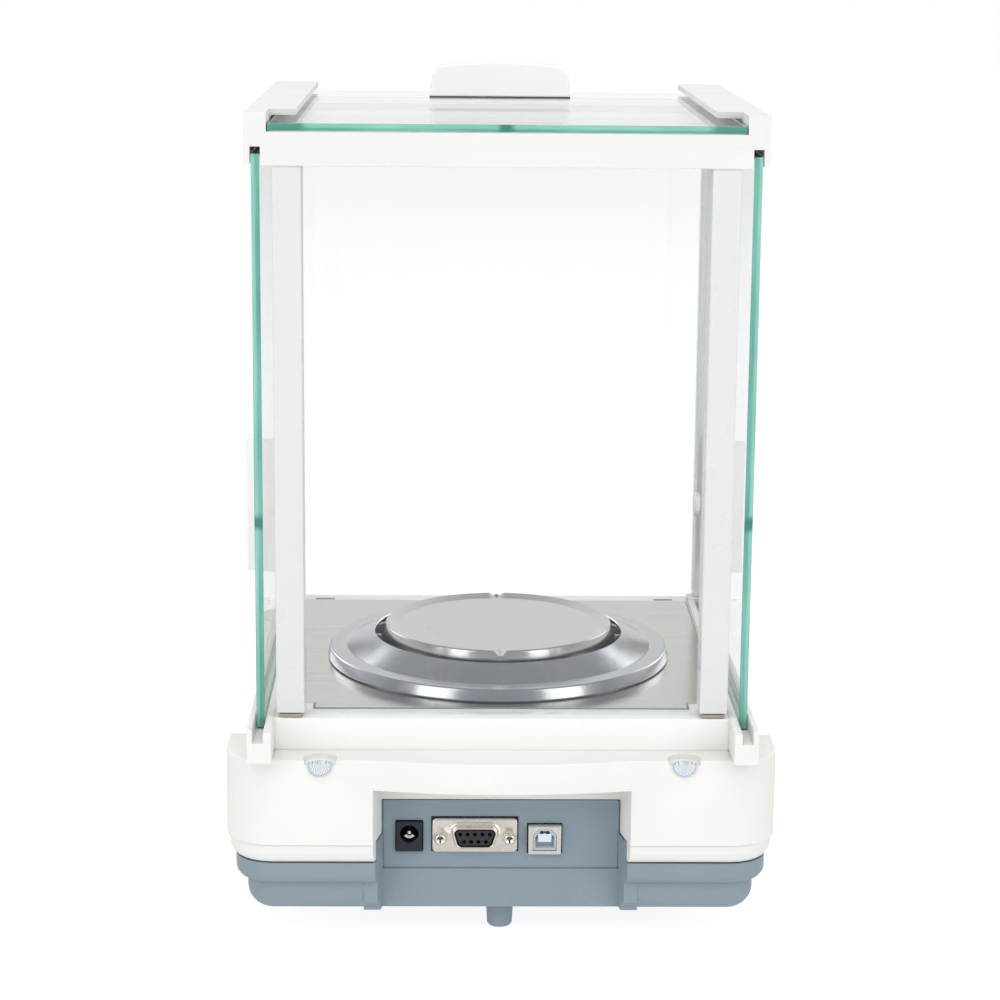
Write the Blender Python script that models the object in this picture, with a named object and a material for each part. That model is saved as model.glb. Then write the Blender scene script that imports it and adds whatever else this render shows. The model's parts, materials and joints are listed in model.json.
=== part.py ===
"""Analytical balance with a glass draught shield, a turned wind ring and three feet.

Units are metres. +Z is up, the display faces -Y and the connectors face +Y. The origin is
under the middle of the balance, on the surface that its feet stand on.
"""

from math import atan2, cos, hypot, pi, radians, sin

import bmesh
import bpy
from mathutils import Matrix, Vector

GAP = 0.0003  # clearance left between neighbouring pieces

# Base, measured at the white upper housing.
BASE_HALF_WIDTH = 0.0993
BASE_REAR = 0.1556
BASE_FRONT = -0.1620
REAR_CORNER_RADIUS = 0.017
FRONT_CORNER_RADIUS = 0.030
BASE_BOTTOM = 0.0120
SKIRT_BOTTOM = 0.0330
SKIRT_TOP = 0.0406
LEDGE_Z = 0.0725
WALL = 0.0025
BULGE = 0.0047  # how far the hood over the connectors stands out of the rear face

# Sloping control deck.
DECK_REAR = (-0.0370, 0.0750)
DECK_FRONT = (-0.1500, 0.0480)

# Connector recess.
RECESS_PANEL_HALF = 0.0430
RECESS_MOUTH_HALF = 0.0461
RECESS_CEILING = 0.0612
PANEL_Y = 0.1402
PANEL_SEAM = 0.0264
PANEL_TOP = 0.0525
CONNECTOR_Z = 0.0394

# Weighing chamber.
FRAME_REAR = 0.1442
FRAME_FRONT = -0.0350
SILL_TOP = 0.0844
BEAM_BOTTOM = 0.2815
BEAM_TOP = 0.2931
RAIL_OUTER = 0.0904
RAIL_INNER = 0.0816
RAIL_END = 0.1620
TOP_RAIL_TOP = 0.2997
LIP_BOTTOM = 0.2974
LIP_INNER = 0.0735
LIP_REAR = 0.1256
GLASS = 0.0030
DOOR_GLASS_X = 0.08495
DOOR_GLASS_BOTTOM = 0.0808
DOOR_GLASS_TOP = 0.2876
DOOR_GLASS_FRONT = -0.0234
POST_INNER = 0.0708
POST_OUTER = 0.0808
POST_BOTTOM = 0.0861
JAMB_INNER = 0.0841
FRONT_GLASS_Y = -0.0346
REAR_GLASS_Y = 0.1366

# Weighing pan, wind ring and sensor, all round one vertical axis.
PAN_Y = 0.0590
PAN_RADIUS = 0.0442
PAN_RIM_Z = 0.09785
PAN_FLAT_Z = 0.0969
PAN_FLAT_RADIUS = 0.0386
RING_RADIUS = 0.0655
RING_FLANGE_Z = 0.0892
CONE_OUTER = 0.0590
CONE_INNER = 0.0477
CONE_TOP_Z = 0.0947

# Feet.
REAR_FOOT_Y = 0.1270
FOOT_X = 0.0760
FOOT_Y = -0.1260
WHEEL_BOTTOM = 0.0034
WHEEL_TOP = 0.0105

ROUND_STEPS = 48
CORNER_STEPS = 6


# ---------------------------------------------------------------- materials

def material(name, colour, roughness, metallic=0.0, transmission=0.0):
    made = bpy.data.materials.new(name)
    made.use_nodes = True
    shader = made.node_tree.nodes["Principled BSDF"]
    shader.inputs["Base Color"].default_value = (*colour, 1.0)
    shader.inputs["Roughness"].default_value = roughness
    shader.inputs["Metallic"].default_value = metallic
    shader.inputs["Transmission Weight"].default_value = transmission
    return made


def make_materials():
    return {
        "white_shell": material("white_shell", (0.88, 0.88, 0.85), 0.45),
        "blue_grey_shell": material("blue_grey_shell", (0.24, 0.30, 0.35), 0.5),
        "panel_grey": material("panel_grey", (0.21, 0.27, 0.32), 0.55),
        "dark_plastic": material("dark_plastic", (0.01, 0.012, 0.02), 0.4),
        "nickel": material("nickel", (0.62, 0.58, 0.52), 0.25, 1.0),
        "brass_pin": material("brass_pin", (0.75, 0.68, 0.5), 0.2, 1.0),
        "usb_insert": material("usb_insert", (0.75, 0.82, 0.9), 0.4),
        "circuit_board": material("circuit_board", (0.02, 0.15, 0.06), 0.5),
        "rubber": material("rubber", (0.03, 0.03, 0.035), 0.85),
        "glass": material("glass", (0.85, 0.97, 0.93), 0.02, 0.0, 1.0),
        "window": material("window", (0.25, 0.3, 0.28), 0.1, 0.0, 0.6),
        "liquid_crystal": material("liquid_crystal", (0.45, 0.52, 0.42), 0.3),
        "key_top": material("key_top", (0.75, 0.77, 0.78), 0.5),
        "vial": material("vial", (0.6, 0.85, 0.2), 0.05, 0.0, 0.7),
        "post": material("post", (0.82, 0.83, 0.82), 0.4, 0.3),
        "steel": material("steel", (0.55, 0.56, 0.57), 0.3, 1.0),
        "aluminium": material("aluminium", (0.7, 0.71, 0.72), 0.4, 1.0),
        "magnet_steel": material("magnet_steel", (0.3, 0.3, 0.32), 0.35, 1.0),
        "copper": material("copper", (0.8, 0.42, 0.25), 0.35, 1.0),
        "pad": material("pad", (0.42, 0.38, 0.33), 0.8),
        "seal": material("seal", (0.7, 0.8, 0.88), 0.3),
    }


# ---------------------------------------------------------------- building

def place(name, mesh, surface, parent=None, at=(0.0, 0.0, 0.0)):
    """The mesh as a shaded object in the scene. Its mesh is given about the point at."""
    made = bpy.data.objects.new(name, mesh)
    bpy.context.scene.collection.objects.link(made)
    made.location = at
    if parent is not None:
        made.parent = parent
    if surface is not None:
        mesh.materials.append(surface)
    mesh.shade_smooth()
    mesh.set_sharp_from_angle(angle=radians(32))
    return made


def mesh_of(build):
    """A mesh from a bmesh, with its normals facing out."""
    bmesh.ops.recalc_face_normals(build, faces=build.faces)
    mesh = bpy.data.meshes.new("shape")
    build.to_mesh(mesh)
    build.free()
    return mesh


def box_mesh(low, high):
    build = bmesh.new()
    bmesh.ops.create_cube(build, size=1.0)
    size = Vector(high) - Vector(low)
    middle = (Vector(high) + Vector(low)) / 2
    bmesh.ops.transform(build, matrix=Matrix.Translation(middle) @ Matrix.Diagonal(size).to_4x4(),
                        verts=build.verts)
    return mesh_of(build)


def prism_mesh(outline, low, high, axis):
    """An outline pushed along an axis. It is given in the other two axes, in X, Y, Z order."""
    def corner(point, along):
        first, second = point
        return {"X": (along, first, second), "Y": (first, along, second), "Z": (first, second, along)}[axis]

    return loft_mesh([[corner(point, low) for point in outline], [corner(point, high) for point in outline]])


def loft_mesh(loops):
    """Loops with equal numbers of points, joined in order and closed by a face at each end."""
    build = bmesh.new()
    rings = [[build.verts.new(point) for point in loop] for loop in loops]
    for first, second in zip(rings, rings[1:]):
        for i in range(len(first)):
            j = (i + 1) % len(first)
            build.faces.new((first[i], first[j], second[j], second[i]))
    build.faces.new(list(reversed(rings[0])))
    build.faces.new(rings[-1])
    return mesh_of(build)


def turned_mesh(profile, steps=ROUND_STEPS, hollow=False):
    """A profile of (radius, height) turned round Z. A hollow one is a closed loop clear of the axis."""
    build = bmesh.new()
    rings = []
    for radius, height in profile:
        if radius == 0:
            rings.append([build.verts.new((0, 0, height))])
            continue
        rings.append([build.verts.new((radius * cos(2 * pi * i / steps), radius * sin(2 * pi * i / steps), height))
                      for i in range(steps)])
    pairs = list(zip(rings, rings[1:])) + ([(rings[-1], rings[0])] if hollow else [])
    for first, second in pairs:
        for i in range(steps):
            j = (i + 1) % steps
            corners = [first[i % len(first)], first[j % len(first)], second[j % len(second)], second[i % len(second)]]
            build.faces.new(list(dict.fromkeys(corners)))
    return mesh_of(build)


def cutter(mesh):
    """A helper that shapes other objects and isn't part of the balance."""
    made = place("cutter", mesh, None)
    made.hide_render = True
    made.display_type = "WIRE"
    return made


def combine(target, mesh, operation, parent=None):
    """Adds, removes or intersects a mesh, which is given in the target's own frame."""
    helper = cutter(mesh)
    helper.matrix_basis = target.matrix_basis.copy()
    helper.parent = target.parent
    change = target.modifiers.new(operation.title(), "BOOLEAN")
    change.operation = operation
    change.solver = "EXACT"
    change.object = helper
    return target


def cut(target, mesh):
    return combine(target, mesh, "DIFFERENCE")


def add(target, mesh):
    return combine(target, mesh, "UNION")


def soften(target, width, segments=2, angle=40):
    change = target.modifiers.new("Bevel", "BEVEL")
    change.width = width
    change.segments = segments
    change.limit_method = "ANGLE"
    change.angle_limit = radians(angle)
    return target


def arc(centre, radius, start, end, steps):
    """Points on an arc in a plane, angles in degrees, both ends included."""
    points = []
    for i in range(steps + 1):
        angle = radians(start + (end - start) * i / steps)
        points.append((centre[0] + radius * cos(angle), centre[1] + radius * sin(angle)))
    return points


def plan_outline(inset, bulge=0.0):
    """The base seen from above, drawn in by inset: round corners, and a bowed middle to the rear."""
    half, rear, front = BASE_HALF_WIDTH - inset, BASE_REAR - inset, BASE_FRONT + inset
    r_rear, r_front = max(REAR_CORNER_RADIUS - inset, 0.004), max(FRONT_CORNER_RADIUS - inset, 0.008)
    points = arc((half - r_front, front + r_front), r_front, -90, 0, CORNER_STEPS)
    points += arc((half - r_rear, rear - r_rear), r_rear, 0, 90, CORNER_STEPS)
    mouth = RECESS_MOUTH_HALF
    for i in range(CORNER_STEPS * 2 + 1):
        x = mouth - 2 * mouth * i / (CORNER_STEPS * 2)
        points.append((x, rear + bulge * (1 - (x / mouth) ** 2)))
    points += arc((-half + r_rear, rear - r_rear), r_rear, 90, 180, CORNER_STEPS)
    points += arc((-half + r_front, front + r_front), r_front, 180, 270, CORNER_STEPS)
    return points


def plan_loop(inset, z, bulge=0.0):
    return [(x, y, z) for x, y in plan_outline(inset, bulge)]


def recess_outline(grow=0.0):
    """The connector recess seen from above, open to the rear."""
    deep, wide = RECESS_PANEL_HALF + grow, RECESS_MOUTH_HALF + grow
    flare = (RECESS_MOUTH_HALF - RECESS_PANEL_HALF) / (BASE_REAR - PANEL_Y)
    past = 0.02
    return [(deep, PANEL_Y), (wide + flare * past, BASE_REAR + past),
            (-wide - flare * past, BASE_REAR + past), (-deep, PANEL_Y)]


def box(name, low, high, surface, parent=None):
    return place(name, box_mesh(low, high), surface, parent)


def mirrored(x, side):
    """A low and high X for a piece that spans x, on the side that the sign gives."""
    return (x[0], x[1]) if side > 0 else (-x[1], -x[0])


def side_name(side):
    """Left and right as seen by someone at the display."""
    return "right" if side > 0 else "left"


# ---------------------------------------------------------------- base

def lower_housing(surface):
    """The grey tub: two stepped bands outside, a floor, and the lower half of the connector recess."""
    round_low, band_low, band_high = 0.0085, 0.0073, 0.0031
    step_z, step_high = 0.0242, 0.0044
    outside = [(BASE_BOTTOM + round_low * (1 - cos(radians(a))), band_low + round_low * (1 - sin(radians(a))))
               for a in range(0, 91, 10)]
    outside += [(step_z + step_high * (1 - cos(radians(a))), band_low - (band_low - band_high) * sin(radians(a)))
                for a in range(0, 91, 15)]
    outside += [(SKIRT_BOTTOM - GAP, band_high), (SKIRT_BOTTOM - GAP, 0.0062), (SKIRT_TOP - 0.0006, 0.0062)]
    inside = [(SKIRT_TOP - 0.0006, 0.0086), (0.0290, 0.0086), (0.0200, 0.0105), (0.0146, 0.0175)]
    tub = place("lower_housing", loft_mesh([plan_loop(inset, z) for z, inset in outside + inside]), surface)
    rib = 0.0497
    back = PANEL_Y - 0.0030
    top = SKIRT_TOP - 0.0006
    add(tub, box_mesh((-rib, back, BASE_BOTTOM - 0.0002), (rib, PANEL_Y + 0.0040, top - 0.0004)))
    add(tub, box_mesh((-rib + 0.0003, back + 0.0004, 0.0163), (rib - 0.0003, BASE_REAR - 0.0070, top - 0.0008)))
    cut(tub, prism_mesh([(x, y + 0.0005) for x, y in recess_outline()], 0.0, 0.06, "Z"))
    opening = RECESS_PANEL_HALF - 0.0001
    cut(tub, box_mesh((-opening, back - 0.02, PANEL_SEAM), (opening, PANEL_Y + 0.0030, 0.06)))
    for side in (-1, 1):
        add(tub, foot_boss(side))
        cut(tub, turned_shaft(0.0033, 0.0, 0.05, (side * FOOT_X, FOOT_Y)))
    return tub


def foot_boss(side):
    mesh = turned_mesh([(0, 0.0125), (0.0075, 0.0125), (0.0075, 0.0260), (0, 0.0260)], 24)
    mesh.transform(Matrix.Translation((side * FOOT_X, FOOT_Y, 0)))
    return mesh


def turned_shaft(radius, low, high, centre, steps=24):
    mesh = turned_mesh([(0, low), (radius, low), (radius, high), (0, high)], steps)
    mesh.transform(Matrix.Translation((*centre, 0)))
    return mesh


def housing_skirt(surface):
    """The white band under the groove, rounded in at its lower edge and open at the recess."""
    outside = [(SKIRT_BOTTOM, 0.0040), (0.0338, 0.0028), (0.0352, 0.0018), (0.0372, 0.0011),
               (SKIRT_TOP - GAP, 0.0008)]
    inside = [(SKIRT_TOP - GAP, 0.0058), (SKIRT_BOTTOM, 0.0058)]
    loops = [plan_loop(inset, z) for z, inset in outside + inside]
    skirt = place("housing_skirt", ring_of_loops(loops), surface)
    cut(skirt, prism_mesh(recess_outline(0.0002), 0.02, 0.06, "Z"))
    cut(skirt, box_mesh((-0.0500, PANEL_Y - 0.004, 0.02), (0.0500, BASE_REAR - 0.0060, 0.06)))
    return skirt


def ring_of_loops(loops):
    """Loops joined in order and back to the first, as the wall of a ring."""
    build = bmesh.new()
    rings = [[build.verts.new(point) for point in loop] for loop in loops]
    for first, second in zip(rings, rings[1:] + rings[:1]):
        for i in range(len(first)):
            j = (i + 1) % len(first)
            build.faces.new((first[i], first[j], second[j], second[i]))
    return mesh_of(build)


def housing_side_profile(inset):
    """The upper housing seen from the side, as (y, z): ledge, chamber seat, sloping deck and nose."""
    bottom = SKIRT_TOP - 0.01
    rear = BASE_REAR + 0.02
    nose = 0.0070
    slope = atan2(DECK_REAR[1] - DECK_FRONT[1], DECK_REAR[0] - DECK_FRONT[0])
    top = LEDGE_Z - inset
    profile = [(rear, bottom), (rear, top), (DECK_REAR[0] + inset, top)]
    profile += [(DECK_REAR[0] + inset, DECK_REAR[1] - inset), (DECK_REAR[0], DECK_REAR[1] - inset)]
    centre = (DECK_FRONT[0], DECK_FRONT[1] - nose)
    profile += [(y, z - inset) for y, z in arc(centre, nose, 90 + slope * 180 / pi, 165, 4)]
    profile += [(BASE_FRONT - 0.01, DECK_FRONT[1] - 0.010 - inset), (BASE_FRONT - 0.01, bottom)]
    return profile


def housing_solid(name, inset, surface):
    """The upper housing's outer form, or with an inset the hollow inside it. It runs on below its lower edge."""
    levels = (SKIRT_TOP - 0.005, DECK_REAR[1] + 0.01)
    body = place(name, loft_mesh([plan_loop(inset, z, BULGE) for z in levels]), surface)
    profile = housing_side_profile(inset)
    combine(body, prism_mesh(profile, -0.12, 0.12, "X"), "INTERSECT")
    return body


def upper_housing(surface):
    """The white shell: a thin wall all over, with side scoops, connector recess and panel openings."""
    shell = soften(housing_solid("upper_housing", 0.0, surface), 0.0015, 2, 35)
    cut(shell, box_mesh((-0.2, -0.2, 0.02), (0.2, 0.2, SKIRT_TOP)))
    for side in (-1, 1):
        cut(shell, scoop_mesh(side))
    hollow = housing_solid("cutter", WALL, None)
    hollow.hide_render = True
    hollow.display_type = "WIRE"
    for side in (-1, 1):
        cut(hollow, scoop_mesh(side, WALL))
    cut(hollow, box_mesh((-RECESS_MOUTH_HALF - 0.004, PANEL_Y - 0.0065, 0.02),
                         (RECESS_MOUTH_HALF + 0.004, BASE_REAR + 0.03, LEDGE_Z)))
    change = shell.modifiers.new("Hollow", "BOOLEAN")
    change.operation = "DIFFERENCE"
    change.object = hollow
    cut(shell, prism_mesh(recess_outline(), 0.02, RECESS_CEILING, "Z"))
    cut(shell, box_mesh((-RECESS_PANEL_HALF - GAP, PANEL_Y - 0.03, 0.02),
                        (RECESS_PANEL_HALF + GAP, BASE_REAR, PANEL_TOP + GAP)))
    cut(shell, turned_shaft(0.0110, LEDGE_Z - 0.01, LEDGE_Z + 0.01, (0.0, PAN_Y), 32))
    for side in (-1, 1):
        cut(shell, turned_shaft(0.0060, LEDGE_Z - 0.0019, LEDGE_Z + 0.01, (side * 0.0648, BASE_REAR - 0.0022), 32))
    for mesh in (panel_pocket(), panel_opening(), level_pocket()):
        mesh.transform(deck_matrix())
        cut(shell, mesh)
    return shell


def scoop_mesh(side, inset=0.0):
    """Clears the shoulder beside the chamber, so that fingers reach the doors' lower rails."""
    outer, inner = BASE_HALF_WIDTH + 0.01, 0.0922 - inset
    low, high = 0.0470 - inset, LEDGE_Z + 0.01
    section = [(outer, low - 0.004), (BASE_HALF_WIDTH, low), (0.0965 - inset, low + 0.0050),
               (0.0942 - inset, low + 0.0110), (inner, low + 0.0190), (inner, high), (outer, high)]
    return prism_mesh([(side * x, z) for x, z in section], FRAME_FRONT + 0.004 - inset, 0.1245 + inset, "Y")


def deck_matrix():
    """Places the deck's own frame: origin at its middle, Y up the slope and Z out of it."""
    rise, run = DECK_REAR[1] - DECK_FRONT[1], DECK_REAR[0] - DECK_FRONT[0]
    middle = (0.0, (DECK_REAR[0] + DECK_FRONT[0]) / 2, (DECK_REAR[1] + DECK_FRONT[1]) / 2)
    return Matrix.Translation(middle) @ Matrix.Rotation(atan2(rise, run), 4, "X")


# ---------------------------------------------------------------- control deck, in its own frame

PANEL_HALF = 0.0840
PANEL_LOW, PANEL_HIGH = -0.0480, 0.0350
PANEL_POCKET = 0.0014
WINDOW = ((-0.0500, -0.0040), (0.0500, 0.0290))
LEVEL_AT = (0.0700, 0.0468)
KEY_DEPTH = 0.0035
KEYS = {
    "key_power": ((-0.0675, 0.0125), (0.0210, 0.0130)),
    "key_menu": ((0.0675, 0.0125), (0.0210, 0.0130)),
    "key_tare_left": ((-0.0560, -0.0270), (0.0320, 0.0160)),
    "key_calibrate": ((-0.0175, -0.0270), (0.0230, 0.0160)),
    "key_print": ((0.0175, -0.0270), (0.0230, 0.0160)),
    "key_tare_right": ((0.0560, -0.0270), (0.0320, 0.0160)),
}


def rounded_rectangle(low, high, radius, steps=4):
    points = arc((high[0] - radius, low[1] + radius), radius, -90, 0, steps)
    points += arc((high[0] - radius, high[1] - radius), radius, 0, 90, steps)
    points += arc((low[0] + radius, high[1] - radius), radius, 90, 180, steps)
    return points + arc((low[0] + radius, low[1] + radius), radius, 180, 270, steps)


def panel_pocket():
    grow = GAP
    outline = rounded_rectangle((-PANEL_HALF - grow, PANEL_LOW - grow), (PANEL_HALF + grow, PANEL_HIGH + grow), 0.008)
    return prism_mesh(outline, -PANEL_POCKET - GAP, 0.01, "Z")


def panel_opening():
    rim = 0.0030
    outline = rounded_rectangle((-PANEL_HALF + rim, PANEL_LOW + rim), (PANEL_HALF - rim, PANEL_HIGH - rim), 0.006)
    return prism_mesh(outline, -0.02, 0.01, "Z")


def level_pocket():
    return turned_shaft(0.0077, -0.02, 0.01, LEVEL_AT, 32)


def control_panel(surface, deck):
    """The keypad bezel, let into the deck, with openings for the window and the keys."""
    outline = rounded_rectangle((-PANEL_HALF, PANEL_LOW), (PANEL_HALF, PANEL_HIGH), 0.008 - GAP)
    panel = place("control_panel", prism_mesh(outline, -PANEL_POCKET, 0.0005, "Z"), surface, deck)
    holes = [(WINDOW[0], WINDOW[1])]
    holes += [((x - w / 2, y - h / 2), (x + w / 2, y + h / 2)) for (x, y), (w, h) in KEYS.values()]
    for low, high in holes:
        low, high = (low[0] - 0.0004, low[1] - 0.0004), (high[0] + 0.0004, high[1] + 0.0004)
        cut(panel, prism_mesh(rounded_rectangle(low, high, 0.0024), -0.01, 0.01, "Z"))
    return panel


def display_window(surface, deck):
    outline = rounded_rectangle(WINDOW[0], WINDOW[1], 0.0020)
    return place("display_window", prism_mesh(outline, -0.0012, 0.0004, "Z"), surface, deck)


def lcd_module(surface, deck):
    (x0, y0), (x1, y1) = WINDOW
    return box("lcd_module", (x0 - 0.002, y0 - 0.001, -0.0052), (x1 + 0.002, y1 + 0.001, -0.0018), surface, deck)


def key_board(surface, deck):
    return box("key_board", (-0.0780, -0.0440, -0.0074), (0.0780, 0.0300, -0.0058), surface, deck)


def key(name, surface, deck):
    """One key cap. Its origin is the middle of its top, on the line that it travels along."""
    (x, y), (w, h) = KEYS[name]
    outline = rounded_rectangle((-w / 2, -h / 2), (w / 2, h / 2), 0.0020)
    inner = rounded_rectangle((-w / 2 + 0.0008, -h / 2 + 0.0008), (w / 2 - 0.0008, h / 2 - 0.0008), 0.0014)
    top = 0.0016
    loops = [[(px, py, z) for px, py in shape] for shape, z in
             ((outline, -KEY_DEPTH), (outline, top - 0.0006), (inner, top))]
    return place(name, loft_mesh(loops), surface, deck, (x, y, 0.0))


def level_holder(surface, deck):
    profile = [(0.0062, -0.0040), (0.0075, -0.0040), (0.0075, 0.0004), (0.0069, 0.0009), (0.0062, 0.0009)]
    return place("level_holder", turned_mesh(profile, 32, True), surface, deck, (*LEVEL_AT, 0.0))


def level_vial(surface, deck):
    profile = [(0, -0.0038), (0.0059, -0.0038), (0.0059, 0.0000), (0.0052, 0.0005), (0.0030, 0.0008), (0, 0.0009)]
    return place("level_vial", turned_mesh(profile, 32), surface, deck, (*LEVEL_AT, 0.0))


# ---------------------------------------------------------------- connectors

JACK_X, DB9_X, USB_X = 0.0333, 0.0095, -0.0159


def connector_panel(surface):
    """The upright panel at the back of the recess, with an opening round each connector."""
    half = RECESS_PANEL_HALF - 0.0004
    panel = box("connector_panel", (-half, PANEL_Y - 0.0022, PANEL_SEAM + GAP), (half, PANEL_Y, PANEL_TOP), surface)
    cut(panel, box_mesh((JACK_X - 0.0050, PANEL_Y - 0.01, 0.0329), (JACK_X + 0.0050, PANEL_Y + 0.01, 0.0447)))
    cut(panel, prism_mesh(d_outline(0.0004), PANEL_Y - 0.01, PANEL_Y + 0.01, "Y"))
    for side in (-1, 1):
        cut(panel, along_y(0.0018, PANEL_Y - 0.01, PANEL_Y + 0.01, (DB9_X + side * 0.0125, CONNECTOR_Z)))
    cut(panel, box_mesh((USB_X - 0.0064, PANEL_Y - 0.01, 0.0321), (USB_X + 0.0064, PANEL_Y + 0.01, 0.0437)))
    return panel


def along_y(radius, low, high, centre, steps=20):
    """A round bar along Y, about a point given as (x, z)."""
    outline = arc(centre, radius, 0, 360 - 360 / steps, steps - 1)
    return prism_mesh(outline, low, high, "Y")


def d_outline(grow=0.0):
    """The D of the nine-pin connector as (x, z): wide at the top, with round corners."""
    half_top, half_bottom, half_high, r = 0.0090 + grow, 0.0079 + grow, 0.0044 + grow, 0.0022
    cx, cz = DB9_X, CONNECTOR_Z
    points = arc((cx + half_top - r, cz + half_high - r), r, 0, 90, 4)
    points += arc((cx - half_top + r, cz + half_high - r), r, 90, 180, 4)
    points += arc((cx - half_bottom + r, cz - half_high + r), r, 190, 270, 4)
    return points + arc((cx + half_bottom - r, cz - half_high + r), r, 270, 350, 4)


def dc_jack_body(surface):
    body = box("dc_jack_body", (JACK_X - 0.0047, 0.1290, 0.0332), (JACK_X + 0.0047, PANEL_Y + 0.0012, 0.0444), surface)
    cut(body, along_y(0.0034, 0.1320, PANEL_Y + 0.01, (JACK_X, 0.0397), 28))
    return body


def dc_jack_pin(surface):
    mesh = turned_mesh([(0, 0.1323), (0.0010, 0.1323), (0.0010, 0.1388), (0.0006, 0.1394), (0, 0.1394)], 16)
    mesh.transform(Matrix.Translation((JACK_X, 0, 0.0397)) @ Matrix.Rotation(-pi / 2, 4, "X"))
    return place("dc_jack_pin", mesh, surface)


def db9_shell(surface):
    """The flange with the D-shaped collar round the socket face."""
    flange = rounded_rectangle((DB9_X - 0.0154, CONNECTOR_Z - 0.00635), (DB9_X + 0.0154, CONNECTOR_Z + 0.00635), 0.0008, 2)
    shell = place("db9_shell", prism_mesh(flange, PANEL_Y + GAP, PANEL_Y + 0.0013, "Y"), surface)
    add(shell, prism_mesh(d_outline(0.0), PANEL_Y - 0.0020, PANEL_Y + 0.0048, "Y"))
    cut(shell, prism_mesh(d_outline(-0.0005), PANEL_Y - 0.01, PANEL_Y + 0.01, "Y"))
    for side in (-1, 1):
        cut(shell, along_y(0.0018, PANEL_Y - 0.01, PANEL_Y + 0.01, (DB9_X + side * 0.0125, CONNECTOR_Z)))
    return shell


def db9_insert(surface):
    """The socket face with its nine contact holes, five above four."""
    insert = place("db9_insert", prism_mesh(d_outline(-0.0008), PANEL_Y - 0.0060, PANEL_Y + 0.0043, "Y"), surface)
    pitch, row = 0.00277, 0.00142
    holes = [((i - 2) * pitch, row) for i in range(5)] + [((i - 1.5) * pitch, -row) for i in range(4)]
    for x, z in holes:
        cut(insert, along_y(0.0006, PANEL_Y - 0.001, PANEL_Y + 0.01, (DB9_X + x, CONNECTOR_Z + z), 10))
    return insert


def db9_jackscrew(side, surface):
    """A hexagonal jackscrew with a threaded socket, its shank through the flange and the panel."""
    outline = arc((0, 0), 0.0029, 0, 300, 5)
    screw = place("db9_jackscrew_" + side_name(side), prism_mesh(outline, PANEL_Y + 0.0016, PANEL_Y + 0.0062, "Y"),
                  surface, None, (DB9_X + side * 0.0125, 0.0, CONNECTOR_Z))
    add(screw, along_y(0.0015, PANEL_Y - 0.0050, PANEL_Y + 0.0030, (0, 0), 16))
    cut(screw, along_y(0.0015, PANEL_Y + 0.0034, PANEL_Y + 0.01, (0, 0), 16))
    return screw


def usb_outline(grow=0.0):
    """The nearly square socket as (x, z), with its two upper corners cut off."""
    half, low, high, chamfer = 0.0060 + grow, 0.0325 - grow, 0.0433 + grow, 0.0
    return [(USB_X - half, low), (USB_X + half, low), (USB_X + half, high - chamfer), (USB_X - half, high - chamfer)]


def usb_mouth_outline():
    """The socket's mouth as (x, z), with its two upper corners cut off."""
    half, low, high, chamfer = 0.0043, 0.0340, 0.0420, 0.0021
    return [(USB_X - half, low), (USB_X + half, low), (USB_X + half, high - chamfer),
            (USB_X + half - chamfer, high), (USB_X - half + chamfer, high), (USB_X - half, high - chamfer)]


def usb_shell(surface):
    shell = place("usb_shell", prism_mesh(usb_outline(), 0.1270, PANEL_Y + 0.0026, "Y"), surface)
    cut(shell, prism_mesh(usb_mouth_outline(), 0.1310, PANEL_Y + 0.01, "Y"))
    return shell


def usb_tongue(surface):
    return box("usb_tongue", (USB_X - 0.0028, 0.1313, 0.0363), (USB_X + 0.0028, PANEL_Y + 0.0012, 0.0395), surface)


def main_board(surface):
    return box("main_board", (-0.0400, 0.1050, 0.0304), (0.0400, 0.1360, 0.0320), surface)


# ---------------------------------------------------------------- feet

def rear_foot(surface):
    profile = [(0, 0), (0.0040, 0), (0.0046, 0.0008), (0.0052, BASE_BOTTOM - GAP), (0, BASE_BOTTOM - GAP)]
    return place("rear_foot", turned_mesh(profile, 32), surface, None, (0.0, REAR_FOOT_Y, 0.0))


def foot_pad(side, surface):
    profile = [(0, 0), (0.0105, 0), (0.0110, 0.0006), (0.0110, 0.0022), (0.0085, WHEEL_BOTTOM - GAP),
               (0, WHEEL_BOTTOM - GAP)]
    return place("foot_pad_" + side_name(side), turned_mesh(profile, 40), surface, None, (side * FOOT_X, FOOT_Y, 0.0))


def foot_wheel(side, surface):
    """A fluted hand wheel with its threaded stem, turned about the stem."""
    flutes, steps, rim = 16, 64, 0.0165
    outline = [((rim - 0.0006 * (1 - cos(2 * pi * flutes * i / steps)) / 2 * 2) * cos(2 * pi * i / steps),
                (rim - 0.0006 * (1 - cos(2 * pi * flutes * i / steps)) / 2 * 2) * sin(2 * pi * i / steps))
               for i in range(steps)]
    small = [(0.93 * x, 0.93 * y) for x, y in outline]
    loops = [[(x, y, z) for x, y in shape] for shape, z in
             ((small, WHEEL_BOTTOM), (outline, WHEEL_BOTTOM + 0.0010), (outline, WHEEL_TOP - 0.0010),
              (small, WHEEL_TOP))]
    wheel = place("foot_wheel_" + side_name(side), loft_mesh(loops), surface, None, (side * FOOT_X, FOOT_Y, 0.0))
    add(wheel, turned_mesh([(0, 0.008), (0.0030, 0.008), (0.0030, 0.0230), (0, 0.0230)], 24))
    return wheel


# ---------------------------------------------------------------- chamber

def chamber_base(surface):
    """The frame that carries the floor plate and the posts, open in the middle."""
    half = RAIL_INNER - GAP
    front = FRONT_GLASS_Y + GLASS + GAP
    frame = box("chamber_base", (-half, front, LEDGE_Z + GAP), (half, FRAME_REAR, SILL_TOP), surface)
    outline = [(x, y) for x, y in plate_outline(GAP)]
    cut(frame, prism_mesh(outline, SILL_TOP - 0.0016, SILL_TOP + 0.01, "Z"))
    cut(frame, box_mesh((-0.0640, -0.0100, 0.05), (0.0640, 0.1180, 0.10)))
    return frame


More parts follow.
